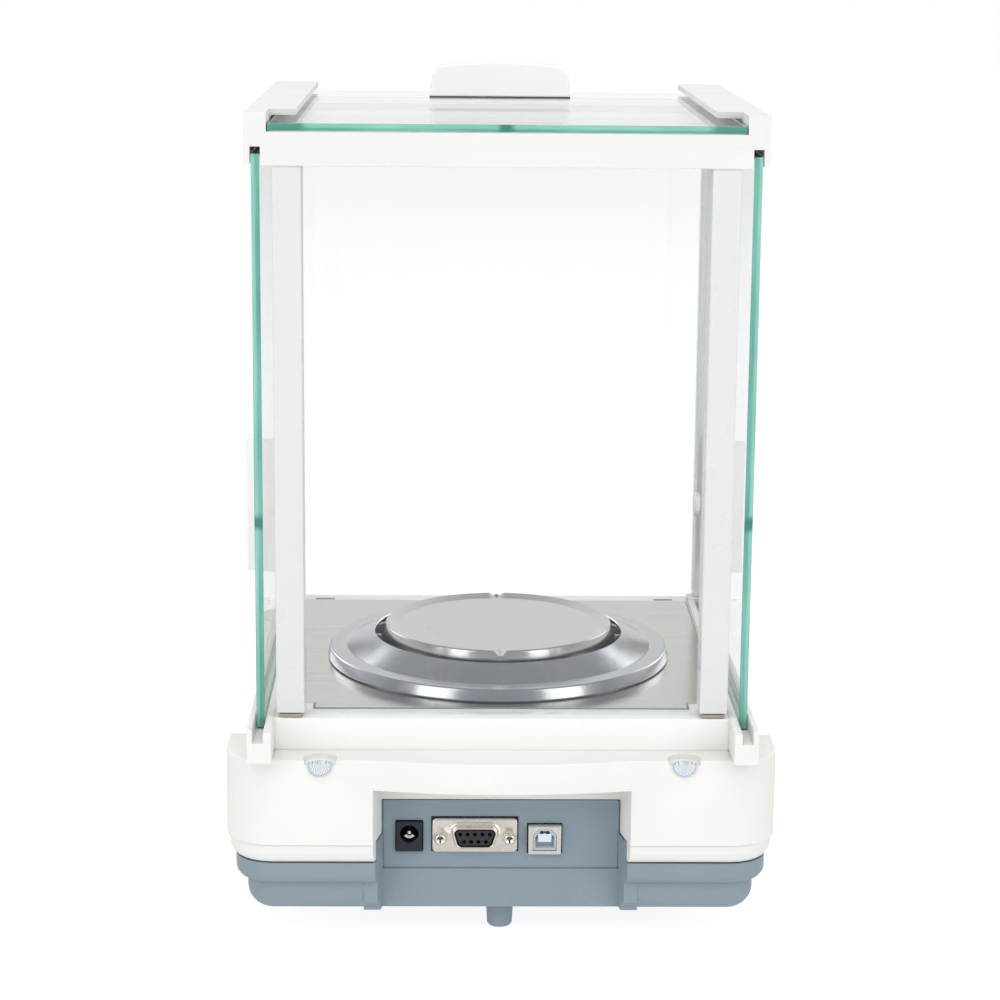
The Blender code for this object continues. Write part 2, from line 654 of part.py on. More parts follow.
def plate_outline(grow=0.0):
    """The floor plate, notched at its rear corners round the seats of the posts."""
    half, front, rear = 0.0806 + grow, -0.0230 - grow, 0.1319 + grow
    notch_x, notch_y = 0.0680 + grow, 0.1251 + grow
    return [(half, front), (half, notch_y), (notch_x, notch_y), (notch_x, rear),
            (-notch_x, rear), (-notch_x, notch_y), (-half, notch_y), (-half, front)]


def floor_plate(surface):
    plate = place("floor_plate", prism_mesh(plate_outline(), SILL_TOP - 0.0013, SILL_TOP - 0.0001, "Z"), surface)
    cut(plate, turned_shaft(0.0100, 0.07, 0.10, (0.0, PAN_Y), 32))
    return plate


def lower_rail(side, surface):
    """A U-channel that the door slides in, open at the rear and past the glass."""
    x = mirrored((RAIL_INNER, RAIL_OUTER), side)
    rail = box("lower_rail_" + side_name(side), (x[0], FRAME_FRONT, LEDGE_Z + GAP), (x[1], RAIL_END, 0.0856), surface)
    slot = mirrored((DOOR_GLASS_X - 0.00035, DOOR_GLASS_X + GLASS + 0.00035), side)
    cut(rail, box_mesh((slot[0], DOOR_GLASS_FRONT - 0.0005, DOOR_GLASS_BOTTOM - 0.0005), (slot[1], 0.2, 0.1)))
    inner = mirrored((RAIL_INNER - 0.01, DOOR_GLASS_X + 0.0005), side)
    cut(rail, box_mesh((inner[0], DOOR_GLASS_FRONT - 0.0005, SILL_TOP), (inner[1], 0.2, 0.1)))
    notch = mirrored((RAIL_INNER - 0.01, JAMB_INNER), side)
    return cut(rail, box_mesh((notch[0], -0.05, 0.05), (notch[1], FRONT_GLASS_Y + GLASS + GAP, 0.1)))


def rear_post(side, surface):
    x = mirrored((POST_INNER, POST_OUTER), side)
    post = box("rear_post_" + side_name(side), (x[0], 0.1309, POST_BOTTOM), (x[1], 0.1439, BEAM_BOTTOM - GAP), surface)
    return soften(post, 0.0006, 2)


def post_pad(side, surface):
    x = mirrored((0.0718, 0.0798), side)
    return box("post_pad_" + side_name(side), (x[0], 0.1330, SILL_TOP + GAP), (x[1], 0.1436, POST_BOTTOM - GAP), surface)


def front_jamb(side, surface):
    """The upright that closes the gap between the front glass and a shut door."""
    x = mirrored((JAMB_INNER, RAIL_OUTER - 0.0006), side)
    jamb = box("front_jamb_" + side_name(side), (x[0], FRAME_FRONT, 0.0859), (x[1], -0.0244, BEAM_BOTTOM - GAP), surface)
    return soften(jamb, 0.0006, 2)


def front_glass(surface):
    half = JAMB_INNER - GAP
    return box("front_glass", (-half, FRONT_GLASS_Y, LEDGE_Z + GAP), (half, FRONT_GLASS_Y + GLASS, BEAM_TOP), surface)


def rear_glass(surface):
    half = POST_INNER - GAP
    return box("rear_glass", (-half, REAR_GLASS_Y, SILL_TOP + GAP), (half, REAR_GLASS_Y + GLASS, BEAM_BOTTOM - GAP), surface)


def door_glass(side, surface):
    x = mirrored((DOOR_GLASS_X, DOOR_GLASS_X + GLASS), side)
    return box("door_glass_" + side_name(side), (x[0], DOOR_GLASS_FRONT, DOOR_GLASS_BOTTOM),
               (x[1], FRAME_REAR, DOOR_GLASS_TOP), surface)


def door_handle(side, surface):
    """The upright grip on the outside of a door: a plate on the glass and a curved fin."""
    plate = [(0.0, -0.0080), (0.0022, -0.0080), (0.0030, -0.0040), (0.0060, -0.0020), (0.0145, -0.0012),
             (0.0148, 0.0), (0.0145, 0.0012), (0.0060, 0.0020), (0.0030, 0.0050), (0.0022, 0.0090), (0.0, 0.0090)]
    base = DOOR_GLASS_X + GLASS + GAP
    outline = [(side * (base + x), y) for x, y in plate]
    return place("door_handle_" + side_name(side), prism_mesh(outline, 0.0992, 0.1546, "Z"), surface,
                 None, (0.0, -0.0145, 0.0))


def door_knob(side, surface):
    """The round button inside the door that its grip is screwed to."""
    profile = [(0, 0), (0.0049, 0), (0.0049, 0.0018), (0.0043, 0.0024), (0, 0.0024)]
    mesh = turned_mesh(profile, 28)
    mesh.transform(Matrix.Rotation(-side * pi / 2, 4, "Y"))
    return place("door_knob_" + side_name(side), mesh, surface, None, (side * (DOOR_GLASS_X - GAP), -0.0145, 0.1281))


def top_glass(surface):
    half = 0.0822
    return box("top_glass", (-half, FRAME_FRONT, BEAM_TOP + GAP), (half, FRAME_REAR, 0.2960), surface)


def top_handle(surface):
    """The grip on the top door, domed along its length and drawn in at its ends."""
    half, low, high, shoulder = 0.0280, 0.2960 + GAP, 0.3100, 0.3078
    outline = [(-half, low), (half, low), (half - 0.0012, shoulder - 0.0026), (half - 0.0026, shoulder - 0.0006)]
    for i in range(9):
        x = (half - 0.0044) * (1 - i / 4)
        outline.append((x, shoulder + (high - shoulder) * (1 - (x / half) ** 2)))
    outline += [(-half + 0.0026, shoulder - 0.0006), (-half + 0.0012, shoulder - 0.0026)]
    handle = place("top_handle", prism_mesh(outline, -0.0122, 0.0024, "Y"), surface)
    return soften(handle, 0.0008, 2, 50)


def top_rail_section(lip):
    """The side of the top frame as (x, z): door slot below, seat for the top glass, outer wall and lip."""
    slot = (DOOR_GLASS_X - 0.00025, DOOR_GLASS_X + GLASS + 0.00035)
    section = [(0.0795, BEAM_BOTTOM), (slot[0], BEAM_BOTTOM), (slot[0], 0.2880), (slot[1], 0.2880),
               (slot[1], 0.2820), (RAIL_OUTER, 0.2820), (RAIL_OUTER, TOP_RAIL_TOP)]
    if lip:
        section += [(LIP_INNER, TOP_RAIL_TOP), (LIP_INNER, LIP_BOTTOM), (0.0826, LIP_BOTTOM)]
    else:
        section += [(0.0826, TOP_RAIL_TOP)]
    return section + [(0.0826, BEAM_TOP), (0.0795, BEAM_TOP)]


def top_frame(surface):
    """The moulded frame over the chamber: two beams joined by the two upper door rails."""
    start = FRONT_GLASS_Y + GLASS + GAP
    frame = box("top_frame", (-0.0810, 0.1330, BEAM_BOTTOM), (0.0810, FRAME_REAR, BEAM_TOP), surface)
    add(frame, box_mesh((-0.0810, start, BEAM_BOTTOM), (0.0810, -0.0200, BEAM_TOP)))
    for side in (-1, 1):
        for lip, low, high in ((True, start, LIP_REAR), (False, LIP_REAR - 0.001, FRAME_REAR)):
            add(frame, prism_mesh([(side * x, z) for x, z in top_rail_section(lip)], low, high, "Y"))
        x = mirrored((JAMB_INNER + GAP, RAIL_OUTER), side)
        add(frame, box_mesh((x[0], FRAME_FRONT, 0.2820), (x[1], start + 0.001, TOP_RAIL_TOP)))
        x = mirrored((LIP_INNER, RAIL_OUTER), side)
        add(frame, box_mesh((x[0], FRAME_FRONT, LIP_BOTTOM), (x[1], start + 0.001, TOP_RAIL_TOP)))
    return frame


def seal_sticker(side, surface):
    """A round tamper seal folded over the rim of its screw recess, half on the floor and half on the face."""
    radius, thick = 0.0044, 0.0003
    fold_y, fold_z = BASE_REAR + GAP, LEDGE_Z - 0.0019 + GAP
    loops = []
    for angle in range(-80, 81, 16):
        along, half = radius * sin(radians(angle)), radius * cos(radians(angle))
        inner = (fold_y + min(along, 0.0), fold_z - max(along, 0.0))
        outer = (inner[0] + (thick if along >= 0 else 0.0), inner[1] + (thick if along <= 0 else 0.0))
        loops.append([(-half, *inner), (half, *inner), (half, *outer), (-half, *outer)])
    return place("seal_sticker_" + side_name(side), loft_mesh(loops), surface, None, (side * 0.0648, 0.0, 0.0))


# ---------------------------------------------------------------- weighing system

def wind_ring(surface):
    """The draught ring: an upright rim, a narrow flange and a cone up to the pan."""
    t, low = 0.0013, SILL_TOP + GAP
    profile = [(RING_RADIUS, low + 0.0006), (RING_RADIUS, RING_FLANGE_Z - 0.0010),
               (RING_RADIUS - 0.0003, RING_FLANGE_Z - 0.0003),
               (RING_RADIUS - 0.0010, RING_FLANGE_Z), (CONE_OUTER, RING_FLANGE_Z), (CONE_INNER + 0.0006, CONE_TOP_Z),
               (CONE_INNER, CONE_TOP_Z - 0.0001), (CONE_INNER, CONE_TOP_Z - 0.0014),
               (CONE_OUTER - 0.0004, RING_FLANGE_Z - t), (RING_RADIUS - t, RING_FLANGE_Z - t),
               (RING_RADIUS - t, low), (RING_RADIUS - 0.0006, low)]
    return place("wind_ring", turned_mesh(profile, 72, True), surface, None, (0.0, PAN_Y, 0.0))


def weighing_pan(surface):
    """The dished pan, with a rolled edge and a socket for its spindle."""
    profile = [(0, PAN_FLAT_Z), (PAN_FLAT_RADIUS, PAN_FLAT_Z), (PAN_FLAT_RADIUS + 0.0040, PAN_RIM_Z - 0.0002),
               (PAN_RADIUS - 0.0010, PAN_RIM_Z), (PAN_RADIUS - 0.0003, PAN_RIM_Z - 0.0003),
               (PAN_RADIUS, PAN_RIM_Z - 0.0010), (PAN_RADIUS, 0.0938), (PAN_RADIUS - 0.0008, 0.0938),
               (PAN_RADIUS - 0.0008, 0.0960), (0.0060, 0.0960), (0.0060, 0.0900), (0.0036, 0.0900),
               (0.0036, 0.0950), (0, 0.0950)]
    return place("weighing_pan", turned_mesh(profile, 72), surface, None, (0.0, PAN_Y, 0.0))


def pan_support(surface):
    """The spindle between the pan and the load receiver, with a collar that the socket rests on."""
    profile = [(0, 0.0700), (0.0040, 0.0700), (0.0040, 0.0860), (0.0075, 0.0860), (0.0075, 0.0897), (0.0033, 0.0897),
               (0.0033, 0.0945), (0, 0.0945)]
    return place("pan_support", turned_mesh(profile, 32), surface, None, (0.0, PAN_Y, 0.0))


def load_receiver(surface):
    """The bracket that takes the pan's load into the parallel guide."""
    receiver = box("load_receiver", (-0.0090, 0.0500, 0.0610), (0.0090, 0.0680, 0.0697), surface)
    return add(receiver, box_mesh((-0.0090, 0.0500, 0.0260), (0.0090, 0.0540, 0.0614)))


def load_cell_frame(surface):
    """The block of the force sensor, cut through by the gaps of its parallel guide."""
    frame = box("load_cell_frame", (-0.0240, 0.0700, 0.0180), (0.0240, 0.1000, 0.0600), surface)
    for low, high in ((0.0235, 0.0250), (0.0530, 0.0545)):
        cut(frame, box_mesh((-0.03, 0.0660, low), (0.03, 0.0940, high)))
    return frame


def magnet_pot(surface):
    profile = [(0, 0.0180), (0.0170, 0.0180), (0.0170, 0.0400), (0.0120, 0.0400), (0.0120, 0.0240), (0.0095, 0.0240),
               (0.0095, 0.0400), (0, 0.0400)]
    return place("magnet_pot", turned_mesh(profile, 36), surface, None, (0.0, 0.0200, 0.0))


def coil_lever(surface):
    """The lever with the coil that hangs in the magnet's gap and balances the load."""
    coil = [(0.0100, 0.0280), (0.0115, 0.0280), (0.0115, 0.0430), (0.0100, 0.0430)]
    lever = place("coil_lever", turned_mesh(coil, 36, True), surface, None, (0.0, 0.0200, 0.0))
    add(lever, box_mesh((-0.0118, -0.0118, 0.0425), (0.0118, 0.0118, 0.0450)))
    return add(lever, box_mesh((-0.0035, 0.0, 0.0430), (0.0035, 0.0297, 0.0448)))


# ---------------------------------------------------------------- the whole balance

def clear_scene():
    for old in list(bpy.data.objects):
        bpy.data.objects.remove(old, do_unlink=True)


def build():
    clear_scene()
    surfaces = make_materials()
    deck = bpy.data.objects.new("deck_frame", None)
    bpy.context.scene.collection.objects.link(deck)
    deck.matrix_world = deck_matrix()

    lower_housing(surfaces["blue_grey_shell"])
    housing_skirt(surfaces["white_shell"])
    upper_housing(surfaces["white_shell"])
    connector_panel(surfaces["panel_grey"])
    dc_jack_body(surfaces["dark_plastic"])
    dc_jack_pin(surfaces["brass_pin"])
    db9_shell(surfaces["nickel"])
    db9_insert(surfaces["dark_plastic"])
    usb_shell(surfaces["nickel"])
    usb_tongue(surfaces["usb_insert"])
    main_board(surfaces["circuit_board"])

    control_panel(surfaces["panel_grey"], deck)
    display_window(surfaces["window"], deck)
    lcd_module(surfaces["liquid_crystal"], deck)
    key_board(surfaces["circuit_board"], deck)
    for name in KEYS:
        key(name, surfaces["key_top"], deck)
    level_holder(surfaces["blue_grey_shell"], deck)
    level_vial(surfaces["vial"], deck)

    chamber_base(surfaces["white_shell"])
    floor_plate(surfaces["steel"])
    front_glass(surfaces["glass"])
    rear_glass(surfaces["glass"])
    top_glass(surfaces["glass"])
    top_handle(surfaces["white_shell"])
    top_frame(surfaces["white_shell"])
    rear_foot(surfaces["blue_grey_shell"])
    for side in (-1, 1):
        db9_jackscrew(side, surfaces["nickel"])
        foot_pad(side, surfaces["rubber"])
        foot_wheel(side, surfaces["blue_grey_shell"])
        lower_rail(side, surfaces["white_shell"])
        rear_post(side, surfaces["post"])
        post_pad(side, surfaces["pad"])
        front_jamb(side, surfaces["post"])
        door_glass(side, surfaces["glass"])
        door_handle(side, surfaces["white_shell"])
        door_knob(side, surfaces["white_shell"])
        seal_sticker(side, surfaces["seal"])

    wind_ring(surfaces["steel"])
    weighing_pan(surfaces["steel"])
    pan_support(surfaces["aluminium"])
    load_receiver(surfaces["aluminium"])
    load_cell_frame(surfaces["aluminium"])
    magnet_pot(surfaces["magnet_steel"])
    coil_lever(surfaces["copper"])


build()
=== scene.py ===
"""The looks of the analytical balance: glass, moulded plastic, turned steel, light and camera."""

import json
from math import cos, pi, radians, sin, sqrt

import bmesh
import bpy
from mathutils import Matrix, Vector

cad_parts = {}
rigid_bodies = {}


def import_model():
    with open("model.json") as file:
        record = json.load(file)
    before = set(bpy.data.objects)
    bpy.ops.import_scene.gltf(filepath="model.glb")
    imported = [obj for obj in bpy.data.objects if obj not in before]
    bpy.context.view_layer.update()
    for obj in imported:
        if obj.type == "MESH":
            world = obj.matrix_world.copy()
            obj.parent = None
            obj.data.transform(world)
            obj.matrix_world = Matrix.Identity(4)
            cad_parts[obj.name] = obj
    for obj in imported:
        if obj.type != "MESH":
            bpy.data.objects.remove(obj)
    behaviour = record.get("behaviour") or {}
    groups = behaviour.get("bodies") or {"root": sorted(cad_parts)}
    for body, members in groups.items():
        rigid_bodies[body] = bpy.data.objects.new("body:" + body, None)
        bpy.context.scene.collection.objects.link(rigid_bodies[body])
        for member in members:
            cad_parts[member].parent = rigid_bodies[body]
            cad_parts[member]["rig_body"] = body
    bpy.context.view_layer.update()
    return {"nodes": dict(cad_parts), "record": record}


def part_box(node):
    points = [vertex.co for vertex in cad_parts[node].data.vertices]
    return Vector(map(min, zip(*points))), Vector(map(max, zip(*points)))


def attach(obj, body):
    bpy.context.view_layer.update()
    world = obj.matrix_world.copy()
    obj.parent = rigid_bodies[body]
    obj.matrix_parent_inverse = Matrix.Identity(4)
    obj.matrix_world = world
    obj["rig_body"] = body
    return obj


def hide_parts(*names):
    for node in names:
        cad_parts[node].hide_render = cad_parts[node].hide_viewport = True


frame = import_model()

MM = 0.001
GAP = 0.3 * MM  # the clearance between neighbouring CAD pieces
NODES = frame["nodes"]
SLOT_OF = {row["node"]: row["material_slot"] for row in frame["record"]["subparts"]}
PAN_LOW, PAN_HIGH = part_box("weighing_pan")
PAN_Y = (PAN_LOW[1] + PAN_HIGH[1]) / 2


# ---------------------------------------------------------------- node helpers

def mix_colours(tree, share, first, second):
    """Blends two colours, each a tuple or a socket. A Mix node's colours are its inputs 6 and 7."""
    made = tree.nodes.new("ShaderNodeMix")
    made.data_type = "RGBA"
    tree.links.new(share, made.inputs[0])
    for socket, value in ((made.inputs[6], first), (made.inputs[7], second)):
        if isinstance(value, bpy.types.NodeSocket):
            tree.links.new(value, socket)
        else:
            socket.default_value = (*value, 1.0)
    return made.outputs[2]


def map_range(tree, value, from_low, from_high, low, high):
    """Moves a number from one range into another, and holds it at the ends."""
    made = tree.nodes.new("ShaderNodeMapRange")
    tree.links.new(value, made.inputs[0])
    for i, number in enumerate((from_low, from_high, low, high)):
        made.inputs[1 + i].default_value = number
    return made


class Shader:
    """A Principled material, with short calls for the textures that drive it."""

    def __init__(self, name, **sockets):
        self.material = bpy.data.materials.new(name)
        self.material.use_nodes = True
        self.tree = self.material.node_tree
        self.surface = self.tree.nodes["Principled BSDF"]
        self.place = self.tree.nodes.new("ShaderNodeTexCoord").outputs["Object"]
        for socket, value in sockets.items():
            self.set(socket.replace("_", " "), value)

    def set(self, socket, value):
        """Links a socket of the surface, or sets it to a number or a colour."""
        if isinstance(value, bpy.types.NodeSocket):
            self.tree.links.new(value, self.surface.inputs[socket])
            return
        self.surface.inputs[socket].default_value = (*value, 1.0) if isinstance(value, tuple) else value

    def node(self, kind, settings=(), **inputs):
        """A new node. Its inputs go by name, or by number as _0 and _1."""
        made = self.tree.nodes.new("ShaderNode" + kind)
        for name, value in dict(settings).items():
            setattr(made, name, value)
        for name, value in inputs.items():
            socket = made.inputs[int(name[1:])] if name[0] == "_" else made.inputs[name.replace("_", " ")]
            if isinstance(value, bpy.types.NodeSocket):
                self.tree.links.new(value, socket)
            else:
                socket.default_value = value
        return made

    def math(self, operation, first, second=0.0):
        return self.node("Math", {"operation": operation}, _0=first, _1=second).outputs[0]

    def distance(self, x, y):
        """The length of a flat vector."""
        return self.math("SQRT", self.math("ADD", self.math("MULTIPLY", x, x), self.math("MULTIPLY", y, y)))

    def noise(self, scale, detail=3.0, stretch=(1, 1, 1), distortion=0.0, vector=None):
        scaled = self.node("Mapping", {}, Vector=vector or self.place, Scale=stretch).outputs[0]
        return self.node("TexNoise", {}, Vector=scaled, Scale=scale, Detail=detail,
                         Distortion=distortion).outputs[0]

    def cells(self, scale):
        return self.node("TexVoronoi", {}, Vector=self.place, Scale=scale).outputs["Distance"]

    def spread(self, value, low, high, from_low=0.3, from_high=0.7):
        """A number from a texture, moved into the range low to high."""
        return map_range(self.tree, value, from_low, from_high, low, high).outputs[0]

    def ramp(self, value, *stops):
        made = self.node("ValToRGB", {}, Fac=value)
        elements = made.color_ramp.elements
        while len(elements) < len(stops):
            elements.new(0.5)
        for element, (position, colour) in zip(elements, stops):
            element.position = position
            element.color = (*colour, 1.0)
        return made.outputs[0]

    def mix(self, share, first, second):
        return mix_colours(self.tree, share, first, second)

    def bump(self, height, depth, strength=1.0, normal=None):
        """Bumps the surface; normal is an earlier bump that this one adds to."""
        made = self.node("Bump", {}, Height=height, Distance=depth, Strength=strength)
        if normal is not None:
            self.tree.links.new(normal, made.inputs["Normal"])
        self.set("Normal", made.outputs[0])
        return made.outputs[0]

    def xyz(self):
        return self.node("SeparateXYZ", {}, Vector=self.place).outputs


def shade(colour, factor):
    return tuple(c * factor for c in colour)


# ---------------------------------------------------------------- materials

def moulded(name, colour, roughness, grain=0.00045, depth=0.000012, vary=0.03, coat=0.0):
    """Injection-moulded plastic: fine spark-eroded grain, faint flow marks and uneven gloss."""
    made = Shader(name, Specular_IOR_Level=0.45, Coat_Weight=coat, Coat_Roughness=0.2)
    flow = made.noise(22.0, 4.0, distortion=0.6)
    speckle = made.noise(900.0, 2.0)
    tone = made.ramp(flow, (0.3, shade(colour, 1 - vary)), (0.55, colour),
                     (0.75, shade(colour, 1 + vary * 0.6)))
    made.set("Base Color", made.mix(made.spread(speckle, 0.0, 0.35), tone, shade(colour, 1 - vary * 1.6)))
    made.set("Roughness", made.spread(made.noise(60.0, 5.0), roughness - 0.05, roughness + 0.07))
    rough = made.bump(made.noise(1.0 / grain, 2.0), depth, 0.7)
    made.bump(made.cells(0.55 / grain), depth * 0.8, 0.5, rough)
    return made.material


def steel(name, colour, roughness, centre=None, stretch=(4.0, 900.0, 900.0), streak=0.10):
    """Stainless steel, brushed in circles round a centre on a turned piece or straight along X."""
    made = Shader(name, Metallic=1.0)
    vector = made.place
    if centre is not None:
        parts = made.xyz()
        x = made.math("SUBTRACT", parts[0], centre[0])
        y = made.math("SUBTRACT", parts[1], centre[1])
        radius = made.distance(x, y)
        turn = made.math("MULTIPLY", made.math("DIVIDE", x, made.math("ADD", radius, 0.0005)), 0.002)
        vector = made.node("CombineXYZ", {}, X=radius, Y=turn, Z=parts[2]).outputs[0]
        stretch = (2600.0, 300.0, 2600.0)
    lines = made.noise(1.0, 3.0, stretch, vector=vector)
    wide = made.noise(1.0, 2.0, shade(stretch, 0.12), vector=vector)
    cloud = made.noise(18.0, 3.0)
    tone = made.ramp(lines, (0.25, shade(colour, 1 - streak)), (0.5, colour),
                     (0.8, shade(colour, 1 + streak)))
    made.set("Base Color", made.mix(made.spread(cloud, 0.0, 0.3), tone, shade(colour, 0.94)))
    made.set("Roughness", made.spread(wide, roughness - 0.02, roughness + 0.03))
    made.bump(lines, 0.000002, 0.4)
    return made.material


def plated(name, colour, roughness):
    """Nickel or brass plating, with the slight waviness of stamped sheet."""
    made = Shader(name, Metallic=1.0)
    made.set("Base Color", made.ramp(made.noise(240.0, 4.0), (0.3, shade(colour, 0.90)), (0.7, colour)))
    made.set("Roughness", made.spread(made.noise(500.0, 3.0), roughness, roughness + 0.10))
    made.bump(made.noise(160.0, 2.0), 0.000006, 0.4)
    return made.material


def pane(name, tint, reflect=(1.0, 1.0, 1.0), base=0.0, grazing_share=0.9):
    """The broad face of a glass sheet: clear, with its reflection and the faintest haze of handling."""
    made = Shader(name, Base_Color=reflect, Metallic=1.0)
    made.set("Roughness", made.spread(made.noise(35.0, 5.0, distortion=0.8), 0.0, 0.02, 0.35, 0.8))
    clear = made.node("BsdfTransparent", {}, Color=(*tint, 1.0)).outputs[0]
    grazing = made.node("LayerWeight", {}, Blend=0.5).outputs["Facing"]
    haze = made.spread(made.noise(28.0, 6.0, distortion=1.2), base + 0.035, base + 0.045, 0.45, 0.8)
    share = made.math("ADD", made.math("MULTIPLY", made.math("POWER", grazing, 5.0), grazing_share), haze)
    mixed = made.node("MixShader", {}, _0=share, _1=clear, _2=made.surface.outputs[0]).outputs[0]
    made.tree.links.new(mixed, made.tree.nodes["Material Output"].inputs["Surface"])
    return made.material


def glass_edge(name, along, across, middle, dark_at, dark_beyond):
    """The ground edge of float glass: its own green, a paler green beside it as a painted highlight, and
    stretches of painted shade along it.

    along and across number the axes of the edge. The paler green, a painted highlight, lies outside or above
    middle. One stretch of painted shade is at dark_at, and the edge is shaded again past dark_beyond from
    there.
    """
    stretch = [420.0, 420.0, 420.0]
    stretch[along] = 30.0
    made = Shader(name, Roughness=0.14, IOR=1.5, Coat_Weight=0.5, Coat_Roughness=0.05)
    parts = made.xyz()
    streaks = made.noise(1.0, 3.0, tuple(stretch))
    body = made.ramp(streaks, (0.30, (0.070, 0.275, 0.210)), (0.50, (0.105, 0.345, 0.270)),
                     (0.72, (0.160, 0.425, 0.345)))
    # painted highlight: the paler green, on the half of the edge outside or above middle
    pale = made.ramp(streaks, (0.30, (0.165, 0.410, 0.325)), (0.60, (0.220, 0.485, 0.395)),
                     (0.80, (0.300, 0.565, 0.475)))
    depth = made.math("ABSOLUTE", parts[across])
    tones = made.mix(made.spread(depth, 0.0, 1.0, middle - 0.00035, middle + 0.00010), body, pale)
    # painted shade: darker stretches along the edge, one at dark_at and the rest past dark_beyond from there
    wander = made.math("MULTIPLY", made.math("SUBTRACT", made.noise(90.0, 2.0), 0.5), 0.006)
    reach = made.math("ABSOLUTE", made.math("ADD", made.math("SUBTRACT", parts[along], dark_at), wander))
    dark = made.math("ADD", made.spread(reach, 1.0, 0.0, 0.0015, 0.0040),
                     made.spread(reach, 0.0, 0.8, dark_beyond, dark_beyond + 0.004))
    made.set("Base Color", made.mix(dark, tones, (0.030, 0.190, 0.135)))
    made.bump(made.noise(900.0, 2.0), 0.00002, 0.5)
    return made.material


def circuit(name):
    """Lacquered board with copper tracks under the mask."""
    made = Shader(name, Coat_Weight=0.5, Coat_Roughness=0.1)
    tracks = made.node("TexBrick", {}, Vector=made.place, Scale=140.0, Mortar_Size=0.03,
                       Color1=(0.02, 0.14, 0.06, 1), Color2=(0.025, 0.17, 0.07, 1),
                       Mortar=(0.05, 0.26, 0.12, 1))
    made.set("Base Color", tracks.outputs["Color"])
    made.set("Roughness", made.spread(made.noise(200.0), 0.3, 0.45))
    made.bump(tracks.outputs["Fac"], 0.00003, 0.4)
    return made.material


def foil(name):
    """A printed security foil: fine rosette of rings and rays on pearl, with no lettering."""
    made = Shader(name, Roughness=0.30, Coat_Weight=0.5, Coat_Roughness=0.1)
    parts = made.xyz()
    low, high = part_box("seal_sticker_right")
    reach = (high[0] - low[0]) / 2
    x = made.math("SUBTRACT", made.math("ABSOLUTE", parts[0]), low[0] + reach)
    z = made.math("SUBTRACT", parts[2], low[2] + reach)
    radius = made.distance(x, z)
    rings = made.math("SINE", made.math("MULTIPLY", radius, 5200.0))
    rays = made.math("SINE", made.math("MULTIPLY", made.math("ARCTAN2", x, z), 18.0))
    fine = made.ramp(made.math("MULTIPLY", rings, rays), (0.05, (0.70, 0.71, 0.70)),
                     (0.20, (0.52, 0.57, 0.61)), (0.50, (0.24, 0.33, 0.44)))
    rim = made.math("MULTIPLY", made.spread(radius, 0.0, 1.0, reach - 0.0007, reach - 0.0005),
                    made.spread(radius, 1.0, 0.0, reach - 0.0003, reach - 0.0001))
    made.set("Base Color", made.mix(made.math("MULTIPLY", rim, 0.8), fine, (0.22, 0.36, 0.52)))
    made.bump(rings, 0.00001, 0.3)
    return made.material


def liquid(name, colour):
    made = Shader(name, Roughness=0.05, Coat_Weight=1.0, Coat_Roughness=0.02)
    made.set("Base Color", made.ramp(made.noise(160.0), (0.3, shade(colour, 0.85)), (0.7, colour)))
    return made.material


WHITE = moulded("white_plastic", (0.745, 0.735, 0.702), 0.40)
# painted shade: a darker copy of the white plastic for the top frame, whose lit upper faces would otherwise
# blow out
WHITE_TOP_PAINTED_SHADE = moulded("white_frame_plastic_painted_shade", (0.705, 0.697, 0.672), 0.40)
# painted light: a lighter copy of the white plastic for the sill and the handles, which the lamps reach less;
# its lower roughness and finer grain are their real satin finish
WHITE_SATIN_PAINTED_LIGHT = moulded("white_satin_plastic_painted_light", (0.810, 0.803, 0.776), 0.33, 0.0006, 0.000006, 0.02)
BLUE_GREY = moulded("blue_grey_plastic", (0.224, 0.281, 0.320), 0.46, 0.0005, 0.000018, 0.06)
PANEL_GREY = moulded("panel_grey_plastic", (0.218, 0.280, 0.324), 0.50, 0.0005, 0.000016, 0.05)
NAVY = moulded("navy_black_plastic", (0.012, 0.016, 0.028), 0.34, 0.0004, 0.000008, 0.15)
INSERT = moulded("contact_block_plastic", (0.022, 0.024, 0.028), 0.45, 0.0004, 0.000008, 0.15)
DARK = moulded("shadow_line_rubber", (0.05, 0.052, 0.055), 0.7, 0.0004, 0.00001, 0.15)
USB_WHITE = moulded("socket_white_plastic", (0.62, 0.70, 0.80), 0.35, 0.0004, 0.000006, 0.04)
USB_GREY = moulded("socket_lining_plastic", (0.45, 0.52, 0.58), 0.35, 0.0004, 0.000006, 0.05)
# painted shadow: near-black plastic for the shade in the connectors' gaps, holes and slots
SHADOW = moulded("painted_shadow_plastic", (0.008, 0.008, 0.010), 0.6, 0.0004, 0.000006, 0.2)
KEY_LIGHT = moulded("key_sign_ink", (0.75, 0.78, 0.80), 0.5, 0.0003, 0.000004, 0.02)
KEY = moulded("key_plastic", (0.62, 0.65, 0.67), 0.42, 0.0005, 0.00001, 0.04)
KEY_BLUE = moulded("key_accent_plastic", (0.055, 0.15, 0.27), 0.40, 0.0005, 0.00001, 0.08)
RUBBER = moulded("foot_rubber", (0.030, 0.031, 0.034), 0.75, 0.0007, 0.00004, 0.2)
PAD = moulded("post_pad_rubber", (0.34, 0.31, 0.27), 0.7, 0.0004, 0.00003, 0.25)
# painted shadow: dark grey for the shade in the seam behind the floor plate and in two slots of the sill
SEAM = moulded("seam_shadow_plastic", (0.26, 0.27, 0.265), 0.6, 0.0004, 0.00001, 0.2)
POST = moulded("post_enamel", (0.640, 0.643, 0.634), 0.30, 0.0009, 0.000006, 0.02, 0.3)
PLATE = steel("brushed_plate", (0.583, 0.580, 0.545), 0.19)
RING_STEEL = steel("turned_steel", (0.52, 0.535, 0.56), 0.20, (0.0, PAN_Y), streak=0.03)
PAN_STEEL = steel("pan_steel", (0.612, 0.612, 0.590), 0.22, (0.0, PAN_Y), streak=0.03)
